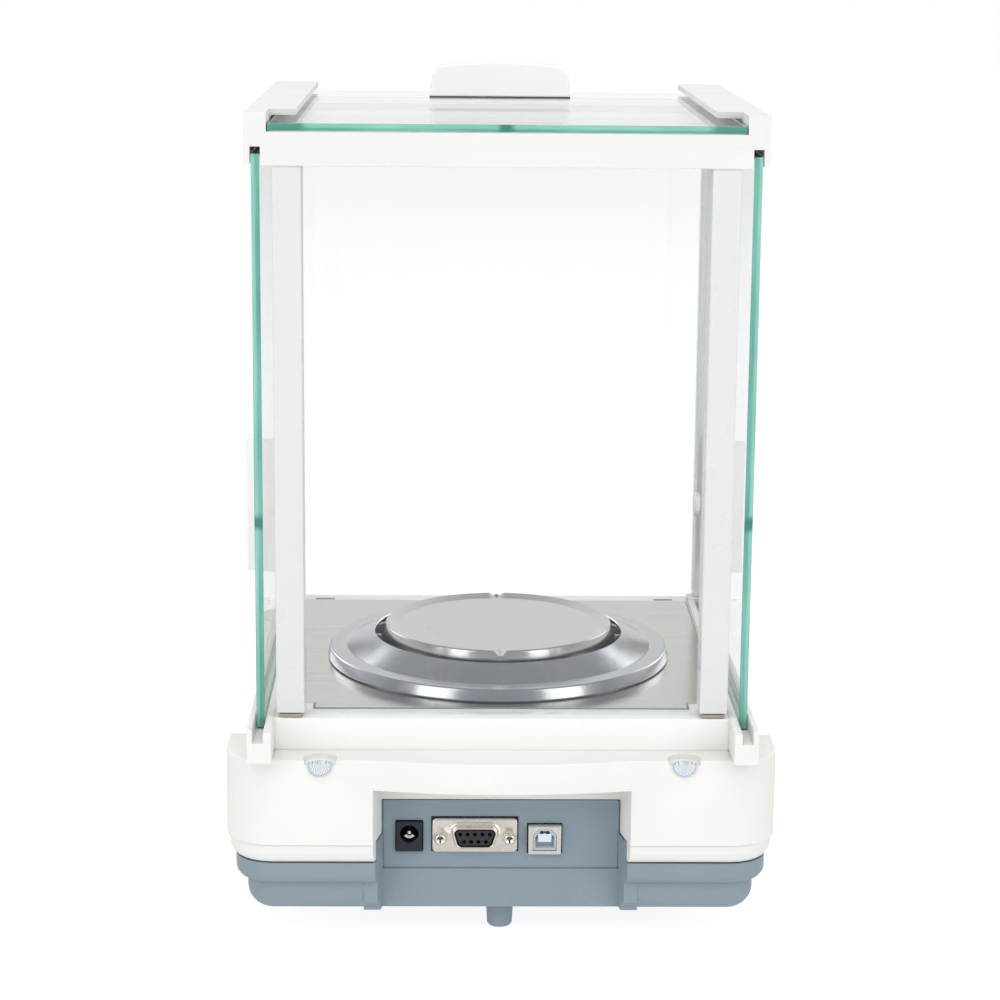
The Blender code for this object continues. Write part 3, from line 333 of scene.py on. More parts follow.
# painted highlight: a near-white steel that makes the pan's folded tabs read bright
PAN_TAB_HIGHLIGHT_STEEL = steel("pan_tab_painted_highlight_steel", (0.88, 0.88, 0.88), 0.42, None, (900.0, 900.0, 900.0), 0.05)
ALUMINIUM = steel("milled_aluminium", (0.66, 0.67, 0.68), 0.33, None, (900.0, 6.0, 900.0))
MAGNET = plated("magnet_plating", (0.30, 0.30, 0.33), 0.3)
COPPER = steel("wound_copper", (0.75, 0.36, 0.20), 0.3, None, (6.0, 6.0, 3200.0), 0.3)
NICKEL = plated("nickel_plating", (0.935, 0.880, 0.798), 0.24)
BRASS = plated("contact_plating", (0.80, 0.76, 0.66), 0.12)
CLEAR = pane("clear_glass", (0.985, 0.986, 0.986))
CLEAR_DOOR = pane("door_clear_glass", (0.985, 0.986, 0.986), grazing_share=0.4)
CLEAR_TOP = pane("top_clear_glass", (0.985, 0.988, 0.987), (0.93, 0.94, 0.95))
EDGE_PALE = pane("glass_edge_pale", (0.95, 0.98, 0.965), base=0.05)
# the two glass-edge materials carry a painted highlight and stretches of painted shade
EDGE_DOOR = glass_edge("door_glass_edge", along=2, across=0, middle=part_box("door_glass_right")[0][0] + 0.0018,
                       dark_at=0.1562, dark_beyond=0.30)
EDGE_TOP = glass_edge("top_glass_edge", along=0, across=2, middle=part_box("top_glass")[0][2] + 0.0012,
                      dark_at=0.0, dark_beyond=0.068)
BOARD = circuit("circuit_board_green")
FOIL = foil("seal_foil")
WINDOW = pane("display_cover", (0.80, 0.86, 0.80), base=0.01)
CRYSTAL = moulded("display_glass", (0.36, 0.43, 0.32), 0.25, 0.0005, 0.000004, 0.03)
SEGMENT = moulded("display_segments", (0.018, 0.022, 0.02), 0.35, 0.0004, 0.000004, 0.1)
VIAL = liquid("level_liquid", (0.50, 0.78, 0.10))
BUBBLE = liquid("level_bubble", (0.86, 0.95, 0.62))

BY_SLOT = {
    "white_shell": WHITE, "blue_grey_shell": BLUE_GREY, "panel_grey": PANEL_GREY, "dark_plastic": NAVY,
    "nickel": NICKEL, "brass_pin": BRASS, "usb_insert": USB_WHITE, "circuit_board": BOARD,
    "rubber": RUBBER, "glass": CLEAR, "window": WINDOW, "liquid_crystal": CRYSTAL, "key_top": KEY,
    "vial": VIAL, "post": POST, "steel": PLATE, "aluminium": ALUMINIUM, "magnet_steel": MAGNET,
    "copper": COPPER, "pad": PAD, "seal": FOIL,
}
BY_NODE = {
    "top_frame": WHITE_TOP_PAINTED_SHADE, "chamber_base": WHITE_SATIN_PAINTED_LIGHT, "door_handle_left": WHITE_SATIN_PAINTED_LIGHT,
    "door_handle_right": WHITE_SATIN_PAINTED_LIGHT, "top_handle": WHITE_SATIN_PAINTED_LIGHT, "db9_insert": INSERT,
    "key_power": KEY_BLUE,
}


def finish_of(node):
    """A node's own material, or else the one of its slot."""
    return BY_NODE.get(node, BY_SLOT[SLOT_OF[node]])


# ---------------------------------------------------------------- mesh helpers

SHARP_ANGLE = 32  # degrees; an edge that turns by more than this is rounded over


def piece(name, mesh, material, body, stands_for=(), angle=35):
    """A visible piece on a CAD body, shaded smooth with its edges kept where they turn past an angle."""
    made = bpy.data.objects.new(name, mesh)
    bpy.context.scene.collection.objects.link(made)
    for surface in material if isinstance(material, (list, tuple)) else [material]:
        mesh.materials.append(surface)
    mesh.shade_smooth()
    mesh.set_sharp_from_angle(angle=radians(angle))
    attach(made, body)
    if stands_for:
        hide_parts(*stands_for)
    return made


def side_name(side):
    """Left and right as seen by someone at the display."""
    return "right" if side > 0 else "left"


def body_of(node):
    return NODES[node]["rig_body"]


def mesh_of(build):
    bmesh.ops.recalc_face_normals(build, faces=build.faces)
    mesh = bpy.data.meshes.new("shape")
    build.to_mesh(mesh)
    build.free()
    return mesh


def merged(node):
    """A CAD node's mesh with its triangles joined back into flat faces."""
    build = bmesh.new()
    build.from_mesh(NODES[node].data)
    bmesh.ops.remove_doubles(build, verts=build.verts, dist=2e-6)
    bmesh.ops.dissolve_limit(build, angle_limit=radians(0.35), verts=build.verts, edges=build.edges)
    return build


def softened(made, width, segments=2, miter="MITER_SHARP"):
    """Rounds over the edges of a piece."""
    change = made.modifiers.new("Rounding", "BEVEL")
    change.width, change.segments = width, segments
    change.limit_method, change.angle_limit = "ANGLE", radians(SHARP_ANGLE)
    change.harden_normals = True
    change.miter_outer = miter
    return made


def rounded(node, width):
    """Stands for a CAD node: the same form with its edges rounded over."""
    made = piece(node + "_finish", mesh_of(merged(node)), finish_of(node), body_of(node),
                 (node,), SHARP_ANGLE)
    softened(made, width, 3, "MITER_ARC")


def turned(profile, steps, centre=(0.0, 0.0), closed=False):
    """A (radius, height) profile in metres, turned round an upright axis."""
    build = bmesh.new()
    rings = []
    for radius, height in profile:
        turns = [2 * pi * i / steps for i in range(steps if radius > 1e-7 else 1)]
        points = [(centre[0] + radius * cos(turn), centre[1] + radius * sin(turn), height) for turn in turns]
        rings.append([build.verts.new(point) for point in points])
    pairs = list(zip(rings, rings[1:])) + ([(rings[-1], rings[0])] if closed else [])
    for first, second in pairs:
        for i in range(steps):
            j = (i + 1) % steps
            corners = (first[i % len(first)], first[j % len(first)],
                       second[j % len(second)], second[i % len(second)])
            build.faces.new(list(dict.fromkeys(corners)))
    return build


def fillet(points, radii):
    """A profile with each corner rounded by its own radius; 0 leaves it sharp."""
    out, steps = [], 5
    for i, (point, radius) in enumerate(zip(points, radii)):
        here = Vector(point)
        if radius == 0 or i in (0, len(points) - 1):
            out.append(tuple(here))
            continue
        before, after = Vector(points[i - 1]) - here, Vector(points[i + 1]) - here
        half = before.normalized().angle(after.normalized()) / 2
        reach = min(radius / max(0.05, abs(sin(half) / cos(half))), 0.49 * before.length, 0.49 * after.length)
        start, end = here + before.normalized() * reach, here + after.normalized() * reach
        for step in range(steps + 1):
            t = step / steps
            out.append(tuple((1 - t) ** 2 * start + 2 * t * (1 - t) * here + t * t * end))
    return out


def bevelled_box(low, high, width, segments=2):
    build = bmesh.new()
    bmesh.ops.create_cube(build, size=1.0)
    low, high = Vector(low), Vector(high)
    place = Matrix.Translation((low + high) / 2) @ Matrix.Diagonal(high - low).to_4x4()
    bmesh.ops.transform(build, verts=build.verts, matrix=place)
    bmesh.ops.bevel(build, geom=build.edges[:], offset=width, segments=segments, affect="EDGES", profile=0.5)
    return build


def strip(name, low, high, material, width=0.03 * MM, body="base"):
    """A bevelled box as a piece of its own."""
    piece(name, mesh_of(bevelled_box(low, high, width)), material, body)


def lofted(loops):
    """Skins a row of closed (x, z) outlines, each at its own y, and caps both ends."""
    build = bmesh.new()
    rows = [[build.verts.new((x, y, z)) for x, z in outline] for outline, y in loops]
    for first, second in zip(rows, rows[1:]):
        for i in range(len(first)):
            j = (i + 1) % len(first)
            build.faces.new((first[i], first[j], second[j], second[i]))
    build.faces.new(rows[0][::-1])
    build.faces.new(rows[-1])
    return build


def carved(solid, tool):
    """The first form with the second cut out of it."""
    pair = [bpy.data.objects.new(name, mesh_of(build)) for name, build in (("solid", solid), ("tool", tool))]
    for made in pair:
        bpy.context.scene.collection.objects.link(made)
    change = pair[0].modifiers.new("Cut", "BOOLEAN")
    change.object, change.solver = pair[1], "EXACT"
    result = bmesh.new()
    result.from_mesh(pair[0].evaluated_get(bpy.context.evaluated_depsgraph_get()).to_mesh())
    for made in pair:
        bpy.data.objects.remove(made)
    return result


def arc(centre, radius, start, end, steps):
    """Points on a circle, from one angle to another in degrees."""
    turns = [radians(start + (end - start) * i / steps) for i in range(steps + 1)]
    return [(centre[0] + radius * cos(turn), centre[1] + radius * sin(turn)) for turn in turns]


# ---------------------------------------------------------------- glass

def glass_sheet(node, thin, edge, face, top_gap=0.0):
    """A pane with ground arrises: clear on its two broad faces, and edge material round the rest.

    thin numbers the axis that the pane is thin along. Unless that is Y, the front edge is pale.
    top_gap is how far the pane stops short of its CAD node's top.
    """
    low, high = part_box(node)
    high = high - Vector((0, 0, top_gap))
    build = bevelled_box(low, high, 0.00035, 2)
    build.normal_update()
    for side in build.faces:
        broad = abs(side.normal[thin]) > 0.95
        side.material_index = 0 if broad else 2 if side.normal.y < -0.5 and thin != 1 else 1
    materials = [face, edge] if thin == 1 else [face, edge, EDGE_PALE]
    piece(node + "_sheet", mesh_of(build), materials, body_of(node), (node,), 20)


SLOT_SHOWS = 2.1 * MM  # of the dark slot, over each door pane

glass_sheet("door_glass_left", 0, EDGE_DOOR, CLEAR_DOOR, SLOT_SHOWS)
glass_sheet("door_glass_right", 0, EDGE_DOOR, CLEAR_DOOR, SLOT_SHOWS)
glass_sheet("rear_glass", 1, EDGE_PALE, CLEAR)
glass_sheet("front_glass", 1, EDGE_PALE, CLEAR)
glass_sheet("top_glass", 2, EDGE_TOP, CLEAR_TOP)


# ---------------------------------------------------------------- pan and ring

NOTCH_HALF, NOTCH_DEEP, NOTCH_REACH = 2.8 * MM, 1.7 * MM, 4.0 * MM


def weighing_pan():
    """The dished pan: rolled rim, leaning wall, and a small folded notch at the front and at the back."""
    radius, top = (PAN_HIGH[0] - PAN_LOW[0]) / 2, PAN_HIGH[2]
    flat, under, notch_floor, foot = top - 1.15 * MM, 95.7 * MM, 95.4 * MM, 93.8 * MM
    profile = [(0, flat), (radius - 6.0 * MM, flat), (radius - 1.3 * MM, top),
               (radius - 0.6 * MM, top - 0.3 * MM), (radius, foot), (radius - 0.8 * MM, foot),
               (radius - 1.2 * MM, under), (0, under)]
    radii = [0, 1.2 * MM, 0.7 * MM, 0.7 * MM, 0.2 * MM, 0.2 * MM, 0.4 * MM, 0]
    build = turned(fillet(profile, radii), 360, (0.0, PAN_Y))
    for vertex in build.verts:
        across, outward = abs(vertex.co.x), sqrt(vertex.co.x ** 2 + (vertex.co.y - PAN_Y) ** 2)
        if across < NOTCH_HALF and outward > radius - NOTCH_REACH and vertex.co.z > notch_floor:
            vertex.co.z -= (1 - across / NOTCH_HALF) * min(NOTCH_DEEP, vertex.co.z - notch_floor)
    piece("weighing_pan_dish", mesh_of(build), PAN_STEEL, "pan", ("weighing_pan",), 40)
    for side in (-1, 1):
        tab = bevelled_box((-0.95 * MM, -0.2 * MM, -0.8 * MM), (0.95 * MM, 0.2 * MM, 0.8 * MM), 0.15 * MM)
        place = Matrix.Translation((0, PAN_Y + side * (radius - 0.9 * MM), 96.5 * MM))
        bmesh.ops.transform(tab, verts=tab.verts, matrix=place @ Matrix.Rotation(side * radians(25), 4, "X"))
        # the tabs' near-white steel is a painted highlight
        piece("pan_tab_" + ("rear" if side > 0 else "front"), mesh_of(tab), PAN_TAB_HIGHLIGHT_STEEL, "pan")


def wind_ring():
    """The turned ring round the pan: a flat flange, a cone up to its mouth, and two lugs inside it."""
    low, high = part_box("wind_ring")
    radius = (high[0] - low[0]) / 2
    flange, top, wall = 89.2 * MM, high[2], 1.3 * MM
    profile = [(radius + 0.4 * MM, low[2]), (radius + 0.6 * MM, low[2] + 0.4 * MM),
               (radius - 0.35 * MM, flange), (59.0 * MM, flange),
               (48.2 * MM, top), (47.7 * MM, top - 0.6 * MM), (47.7 * MM, top - 1.4 * MM),
               (58.6 * MM, flange - wall), (radius - wall - 0.7 * MM, flange - wall), (radius - wall, low[2]),
               (radius - 0.6 * MM, low[2])]
    radii = [0, 0.3 * MM, 0.9 * MM, 1.6 * MM, 0.5 * MM, 0.3 * MM, 0.3 * MM, 0.8 * MM, 0.8 * MM, 0.2 * MM, 0]
    build = turned(fillet(profile, radii), 360, (0.0, PAN_Y), True)
    piece("wind_ring_turned", mesh_of(build), RING_STEEL, "base", ("wind_ring",), 40)
    for side in (-1, 1):
        place = Vector((side * 46.4 * MM, PAN_Y + 3.0 * MM, 92.2 * MM))
        reach = Vector((1.2 * MM, 0.9 * MM, 0.8 * MM))
        strip("ring_lug_" + side_name(side), place - reach, place + reach, RING_STEEL, 0.3 * MM)


weighing_pan()
wind_ring()


# ---------------------------------------------------------------- connectors

def middle_of(node):
    low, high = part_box(node)
    return (low + high) / 2


PANEL_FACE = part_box("connector_panel")[1][1]
DB9 = middle_of("db9_insert")
USB = middle_of("usb_shell")
JACK = middle_of("dc_jack_pin")


def d_outline(grow):
    """The nine-pin connector's D as (x, z), its lower corners drawn in by the shell's 10 degree sides."""
    top, bottom, high, r = 8.18 * MM + grow, 7.22 * MM + grow, 4.1 * MM + grow, 2.6 * MM + grow
    x, z = DB9.x, DB9.z
    corners = ((x + top - r, z + high - r, 0, 90), (x - top + r, z + high - r, 90, 180),
               (x - bottom + r, z - high + r, 190, 270), (x + bottom - r, z - high + r, 270, 350))
    return [point for across, up, start, end in corners for point in arc((across, up), r, start, end, 6)]


def plate_outline(low, high, inset):
    """A round-cornered plate that fills a box's width and height, as (x, z)."""
    r = 1.5 * MM - inset
    left, right = low[0] + inset + r, high[0] - inset - r
    bottom, top = low[2] + inset + r, high[2] - inset - r
    corners = ((right, top, 0), (left, top, 90), (left, bottom, 180), (right, bottom, 270))
    return [point for x, z, turn in corners for point in arc((x, z), r, turn, turn + 90, 5)]


def drilled(points, radius, low, high):
    """Round cutters along Y, one at each (x, z)."""
    build = bmesh.new()
    for x, z in points:
        made = bmesh.ops.create_cone(build, cap_ends=True, segments=20, radius1=radius, radius2=radius,
                                     depth=high - low)
        place = Matrix.Translation((x, (low + high) / 2, z)) @ Matrix.Rotation(pi / 2, 4, "X")
        bmesh.ops.transform(build, verts=made["verts"], matrix=place)
    return build


def nine_pin_socket():
    """Flange, rolled D collar, black socket face with nine holes, and painted shadow: a near-black box in the
    cut-out round the flange and a near-black strip seen through the holes.

    The pairs are (growth of the outline, distance along Y), in millimetres.
    """
    low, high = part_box("db9_shell")
    flange, tip = PANEL_FACE + 1.3 * MM, high[1]
    foot = ((1.1, 0.0), (0.55, 0.12), (0.2, 0.5), (0.0, 1.1))
    mouth = ((0.0, -0.5), (-0.12, -0.12), (-0.4, 0.0), (-0.68, -0.12), (-0.8, -0.5), (-0.8, -3.0))
    loops = [(d_outline(grow * MM), flange + y * MM) for grow, y in foot]
    loops += [(d_outline(grow * MM), tip + y * MM) for grow, y in mouth]
    piece("db9_collar", mesh_of(lofted(loops)), NICKEL, "base", ("db9_shell",), 50)
    base = lofted([(plate_outline(low, high, inset * MM), flange - back * MM)
                   for inset, back in ((0.0, 1.0), (0.0, 0.25), (0.1, 0.07), (0.25, 0.0))])
    piece("db9_flange", mesh_of(base), NICKEL, "base")
    # painted shadow: a near-black box behind the flange, showing round it as the shade of its cut-out
    strip("db9_cutout_painted_shadow", (low[0] - 0.45 * MM, PANEL_FACE - 0.4 * MM, low[2] - 0.1 * MM),
          (high[0] + 0.45 * MM, PANEL_FACE + 0.12 * MM, high[2] + 0.55 * MM),
          SHADOW, 0.1 * MM)
    pitch, row = 2.66 * MM, 1.42 * MM
    holes = [(DB9.x + (i - 2) * pitch, DB9.z + row) for i in range(5)]
    holes += [(DB9.x + (i - 1.5) * pitch, DB9.z - row) for i in range(4)]
    face = lofted([(d_outline(grow * MM), tip + y * MM)
                   for grow, y in ((-1.25, -3.5), (-1.25, -0.55), (-1.4, -0.4))])
    socket = carved(face, drilled(holes, 0.72 * MM, tip - 2.6 * MM, tip + 1.0 * MM))
    softened(piece("db9_face", mesh_of(socket), INSERT, "base", ("db9_insert",)), 0.12 * MM)
    # painted shade: a near-black strip deep in the socket, seen through the holes
    strip("db9_holes_painted_shade", (low[0] + 8 * MM, tip - 3.2 * MM, DB9.z - 3 * MM),
          (high[0] - 8 * MM, tip - 2.4 * MM, DB9.z + 3 * MM), SHADOW, 0.3 * MM)
    for side in (-1, 1):
        jackscrew(side)


def jackscrew(side):
    """A hexagonal standoff with a round head, its drive cut shown by three near-black slots of painted shade.
    """
    name = "db9_jackscrew_" + side_name(side)
    low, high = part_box(name)
    x, z, tip = (low[0] + high[0]) / 2, (low[2] + high[2]) / 2, high[1]
    sides = ((2.6, PANEL_FACE + 1.2 * MM), (2.75, tip - 2.2 * MM), (2.4, tip - 1.8 * MM))
    nut = lofted([(arc((x, z), r * MM, 0, 300, 5), y) for r, y in sides])
    piece(name + "_nut", mesh_of(nut), NICKEL, "base", (name,), 25)
    dome = ((2.0, -1.9), (2.0, -0.5), (1.85, -0.15), (1.55, 0.0), (1.25, -0.1), (1.0, -0.45), (0.4, -0.6))
    head = lofted([(arc((x, z), r * MM, 0, 345, 23), tip + y * MM) for r, y in dome])
    piece(name + "_head", mesh_of(head), NICKEL, "base", angle=60)
    # painted shade: three near-black slots in the head's drive
    for i in range(3):
        slot = bevelled_box((-0.16 * MM, -0.3 * MM, 0.1 * MM), (0.16 * MM, 0.35 * MM, 1.25 * MM), 0.08 * MM)
        place = Matrix.Translation((x, tip - 0.45 * MM, z)) @ Matrix.Rotation(radians(60 + 120 * i), 4, "Y")
        bmesh.ops.transform(slot, verts=slot.verts, matrix=place)
        piece(f"{name}_slot_{i + 1}", mesh_of(slot), SHADOW, "base")


def usb_outline(grow):
    """The mouth of the square socket as (x, z), with its two upper corners cut off."""
    half, cut = 4.3 * MM + grow, 2.1 * MM
    left, right, low, high = USB.x - half, USB.x + half, USB.z - 3.9 * MM - grow, USB.z + 4.1 * MM + grow
    return [(left, low), (right, low), (right, high - cut), (right - cut, high), (left + cut, high),
            (left, high - cut)]


def usb_socket():
    """Folded shell, pale lining, the contact block, and two near-black boxes of painted shade over it at the
    ends of two contacts.
    """
    low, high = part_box("usb_shell")
    tip = high[1]
    mouth = lofted([(usb_outline(0.0), low[1] + 3 * MM), (usb_outline(0.0), tip + MM)])
    shell = carved(bevelled_box(low, high, 0.35 * MM, 3), mouth)
    softened(piece("usb_case", mesh_of(shell), NICKEL, "base", ("usb_shell",)), 0.15 * MM)
    steps = ((-0.05, -6.0), (-0.05, -0.7), (-0.2, -0.5), (-0.75, -0.6), (-0.95, -1.2), (-1.05, -3.6))
    lining = lofted([(usb_outline(grow * MM), tip + y * MM) for grow, y in steps])
    softened(piece("usb_lining", mesh_of(lining), USB_GREY, "base"), 0.1 * MM)
    block = bevelled_box((USB.x - 2.45 * MM, tip - 4.5 * MM, USB.z - 0.9 * MM),
                         (USB.x + 2.45 * MM, tip - 0.8 * MM, USB.z + 2.5 * MM), 0.3 * MM, 3)
    piece("usb_block", mesh_of(block), USB_WHITE, "base", ("usb_tongue",))
    # painted shade: two near-black boxes at the contacts' ends on the block
    for side in (-1, 1):
        x = USB.x + side * 1.1 * MM
        strip("usb_contact_painted_shade_" + side_name(side), (x - 0.6 * MM, tip - 2.0 * MM, USB.z + 2.35 * MM),
              (x + 0.6 * MM, tip - 0.55 * MM, USB.z + 3.5 * MM), SHADOW, 0.1 * MM)


def jack_spring():
    """The bent leaf at the foot of the power socket's hole."""
    centre = (JACK.x, JACK.z)
    outline = arc(centre, 2.5 * MM, 215, 325, 14) + arc(centre, 1.35 * MM, 325, 215, 14)
    leaf = lofted([(outline, PANEL_FACE - 3.0 * MM), (outline, PANEL_FACE - 1.4 * MM)])
    softened(piece("dc_jack_leaf", mesh_of(leaf), BRASS, "base"), 0.15 * MM)


def panel_gasket():
    """Fills the parting line round the connector panel a little below its face."""
    low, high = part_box("connector_panel")
    out, lap = 0.45 * MM, 0.1 * MM
    left, right, bottom, top = low[0] - out, high[0] + out, low[2] - out, high[2] - 0.2 * MM
    back, face = high[1] - 1.6 * MM, high[1] - 0.22 * MM
    for name, near, far in (("low", (left, back, bottom), (right, face, low[2] + lap)),
                            ("left", (left, back, bottom), (low[0] + lap, face, top)),
                            ("right", (high[0] - lap, back, bottom), (right, face, top))):
        strip("panel_gasket_" + name, near, far, PANEL_GREY)


nine_pin_socket()
usb_socket()
jack_spring()
panel_gasket()


# ---------------------------------------------------------------- joints and seams of the chamber

def mirrored(side, near, far):
    """Two distances from the middle, as a low and a high x on one side."""
    return sorted((side * near, side * far))


def sill_joints():
    """Closes the fine gaps round the back of the sill, a little below the surface."""
    low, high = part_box("chamber_base")
    face = high[1] - 0.12 * MM
    strip("sill_joint_low", (low[0], high[1] - 4.0 * MM, low[2] - GAP - 0.05 * MM),
          (high[0], face, low[2] + 0.1 * MM), WHITE)
    for side in (-1, 1):
        near, far = mirrored(side, high[0] - 0.05 * MM, high[0] + 0.35 * MM)
        strip("sill_joint_" + side_name(side), (near, high[1] - 12.0 * MM, low[2]),
              (far, face, high[2] - 0.15 * MM), WHITE)


def post_joints():
    """Closes the gap between each rear post and the frame on top of it."""
    inset = 0.1 * MM
    for side in (-1, 1):
        low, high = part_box("rear_post_" + side_name(side))
        strip("post_joint_" + side_name(side), (low[0] + inset, low[1] + inset, high[2] - 0.1 * MM),
              (high[0] - inset, high[1] - inset, high[2] + 0.4 * MM), POST)


def handle_seat():
    """The dark line between the top glass and its grip."""
    low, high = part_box("top_handle")
    glass_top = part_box("top_glass")[1][2]
    strip("handle_seat", (low[0] + 0.1 * MM, low[1] + 0.1 * MM, glass_top),
          (high[0] - 0.1 * MM, high[1] + 0.05 * MM, low[2] + 0.05 * MM), DARK,
          body=body_of("top_handle"))


def plate_seams():
    """Painted shadow: a fine dark strip in the seam behind the floor plate, and in two slots in the sill in
    front of it.
    """
    low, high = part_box("floor_plate")
    notch, bevel, bottom = 68.0 * MM, 0.04 * MM, high[2] - 0.3 * MM
    seam_top, slot_top = high[2] + 0.38 * MM, high[2] + 0.12 * MM
    strip("plate_seam_rear", (-notch, high[1] - 0.3 * MM, bottom), (notch, high[1] + 0.1 * MM, seam_top),
          SEAM, bevel)
    for side in (-1, 1):
        near, far = mirrored(side, notch - 0.3 * MM, notch + 0.1 * MM)
        strip("plate_seam_" + side_name(side), (near, high[1] - 6.8 * MM, bottom), (far, high[1], seam_top),
              SEAM, bevel)
        near, far = mirrored(side, high[0] - 13.5 * MM, high[0] - 5.5 * MM)
        strip("sill_slot_" + side_name(side), (near, low[1] - 3.0 * MM, bottom),
              (far, low[1] - 0.4 * MM, slot_top), SEAM, bevel)


def deck_joint():
    """Closes the slot at the foot of the step between the deck and the chamber."""
    front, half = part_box("top_frame")[0][1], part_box("lower_rail_right")[1][0]
    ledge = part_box("chamber_base")[0][2] - GAP
    strip("deck_joint", (-half, front - 1.2 * MM, ledge - 0.2 * MM),
          (half, front + 0.05 * MM, ledge + 1.5 * MM), WHITE)
    for side in (-1, 1):
        near, far = mirrored(side, half - 0.5 * MM, half + 6.8 * MM)
        strip("deck_joint_" + side_name(side), (near, front - 1.7 * MM, ledge - 1.5 * MM),
              (far, front + 0.9 * MM, ledge + 0.06 * MM), WHITE)


sill_joints()
post_joints()
handle_seat()
plate_seams()
deck_joint()


# ---------------------------------------------------------------- control deck

DECK_UP = -Vector(next(joint["axis"] for joint in frame["record"]["behaviour"]["joints"]
                       if joint["name"] == "key_power_press"))
ACROSS = Vector((1, 0, 0))
DECK_BACK = DECK_UP.cross(ACROSS)


def on_deck(node, lift=0.0):
    """A frame on the middle of a deck part's top face: X across, Y up the slope, Z out of it."""
    points = [vertex.co for vertex in NODES[node].data.vertices]
    middle = [(min(point.dot(axis) for point in points) + max(point.dot(axis) for point in points)) / 2
              for axis in (ACROSS, DECK_BACK)]
    top = max(point.dot(DECK_UP) for point in points) + lift
    axes = Matrix((ACROSS, DECK_BACK, DECK_UP)).transposed()
    return Matrix.Translation(axes @ Vector((*middle, top))) @ axes.to_4x4()


def bars(boxes, place):
    """Thin raised bars on a deck part: (x, y, length, height) in millimetres, and any turn in degrees."""
    build = bmesh.new()
    for x, y, length, height, *turn in boxes:
        half = Vector((length * MM / 2, height * MM / 2, 0.12 * MM))
        bar = bevelled_box(-half, half, 0.05 * MM, 1)
        spin = Matrix.Rotation(radians(turn[0]) if turn else 0.0, 4, "Z")
        shift = Matrix.Translation((x * MM, y * MM, 0))
        bmesh.ops.transform(bar, verts=bar.verts, matrix=place @ shift @ spin)
        mesh = mesh_of(bar)
        build.from_mesh(mesh)
        bpy.data.meshes.remove(mesh)
    return build


def ring_bars(radius, start, end, count, thick):
    """Short bars that follow an arc, for a round symbol."""
    length = radius * radians(end - start) / count * 1.15
    turns = [start + (end - start) * (i + 0.5) / count for i in range(count)]
    return [(radius * cos(radians(turn)), radius * sin(radians(turn)), length, thick, turn + 90)
            for turn in turns]


def display_digits():
    """A zero reading in seven-segment figures, lying on the liquid-crystal glass under the window."""
    figure = ((0, 8, 5.6, 1.3), (0, -8, 5.6, 1.3), (-3.6, 4, 1.3, 6.6), (3.6, 4, 1.3, 6.6),
              (-3.6, -4, 1.3, 6.6), (3.6, -4, 1.3, 6.6))
    pitch, lean, point_gap = 12.0, 0.08, 2.5
    segments = []
    for i in range(6):
        x = -32 + i * pitch + (point_gap if i > 1 else 0)
        segments += [(x + dx + dy * lean, dy, length, height) for dx, dy, length, height in figure]
    segments.append((-12.6, -8, 1.4, 1.4))
    segments += [(-43, 8, 3.2, 0.8), (-43, 5.5, 3.2, 0.8), (44, -9, 2.4, 2.4, 45)]
    mesh = mesh_of(bars(segments, on_deck("lcd_module", 0.05 * MM)))
    piece("display_segments", mesh, SEGMENT, "base")


def key_symbols():
    """Plain printed signs: a power ring, three menu bars, zero with an arrow, a weight, a sheet of paper."""
    power = ring_bars(2.6, 120, 420, 14, 0.6) + [(0, 2.4, 0.6, 3.0)]
    menu = [(0, y, 5.4, 0.7) for y in (2.0, 0.0, -2.0)]
    arrow = [(6.4, 0, 3.4, 0.6), (5.2, 0.6, 1.8, 0.6, 45), (5.2, -0.6, 1.8, 0.6, -45)]
    zero = ring_bars(2.3, 0, 360, 16, 0.6) + arrow
    weight = [(0, -2.2, 5.6, 0.6), (-2.2, -0.4, 3.8, 0.6, 72), (2.2, -0.4, 3.8, 0.6, -72), (0, 1.4, 3.4, 0.6)]
    sheet = [(0, 2.6, 4.2, 0.6), (0, -2.6, 4.2, 0.6), (-2.0, 0, 0.6, 5.2), (2.0, 0, 0.6, 5.2),
             (0, 0.8, 2.4, 0.5), (0, -0.8, 2.4, 0.5)]
    signs = {"key_power": power, "key_menu": menu, "key_tare_left": zero, "key_tare_right": zero,
             "key_calibrate": weight, "key_print": sheet}
    for node, sign in signs.items():
        ink = KEY_LIGHT if node == "key_power" else KEY_BLUE
        piece(node + "_sign", mesh_of(bars(sign, on_deck(node))), ink, body_of(node))


def level_bubble():
    """The ring printed on the level's glass and the bubble under it."""
    place = on_deck("level_vial")
    ring = [(2.3, -0.06), (2.3, 0.08), (2.6, 0.08), (2.6, -0.06)]
    bubble = [(0, 0.22), (0.9, 0.17), (1.5, 0.02), (1.7, -0.2)]
    for name, profile, material in (("level_ring", ring, SEGMENT), ("level_bubble", bubble, BUBBLE)):
        build = turned([(r * MM, z * MM) for r, z in profile], 48, closed=profile is ring)
        bmesh.ops.transform(build, verts=build.verts, matrix=place)
        piece(name, mesh_of(build), material, "base")


display_digits()
key_symbols()
level_bubble()


# ---------------------------------------------------------------- carried-over nodes

EDGE_ROUNDING = {
    "upper_housing": 0.0007, "housing_skirt": 0.0003, "lower_housing": 0.0004, "chamber_base": 0.0005,
    "lower_rail_left": 0.0005, "lower_rail_right": 0.0005, "top_frame": 0.0006, "connector_panel": 0.00025,
    "dc_jack_body": 0.0002, "control_panel": 0.0003, "display_window": 0.0003, "floor_plate": 0.0002,
    "door_handle_left": 0.0003, "door_handle_right": 0.0003,
}

for name, width in EDGE_ROUNDING.items():
    rounded(name, width)

for name, node in NODES.items():
    node.data.materials.clear()
    node.data.materials.append(finish_of(name))


# ---------------------------------------------------------------- light, floor and camera

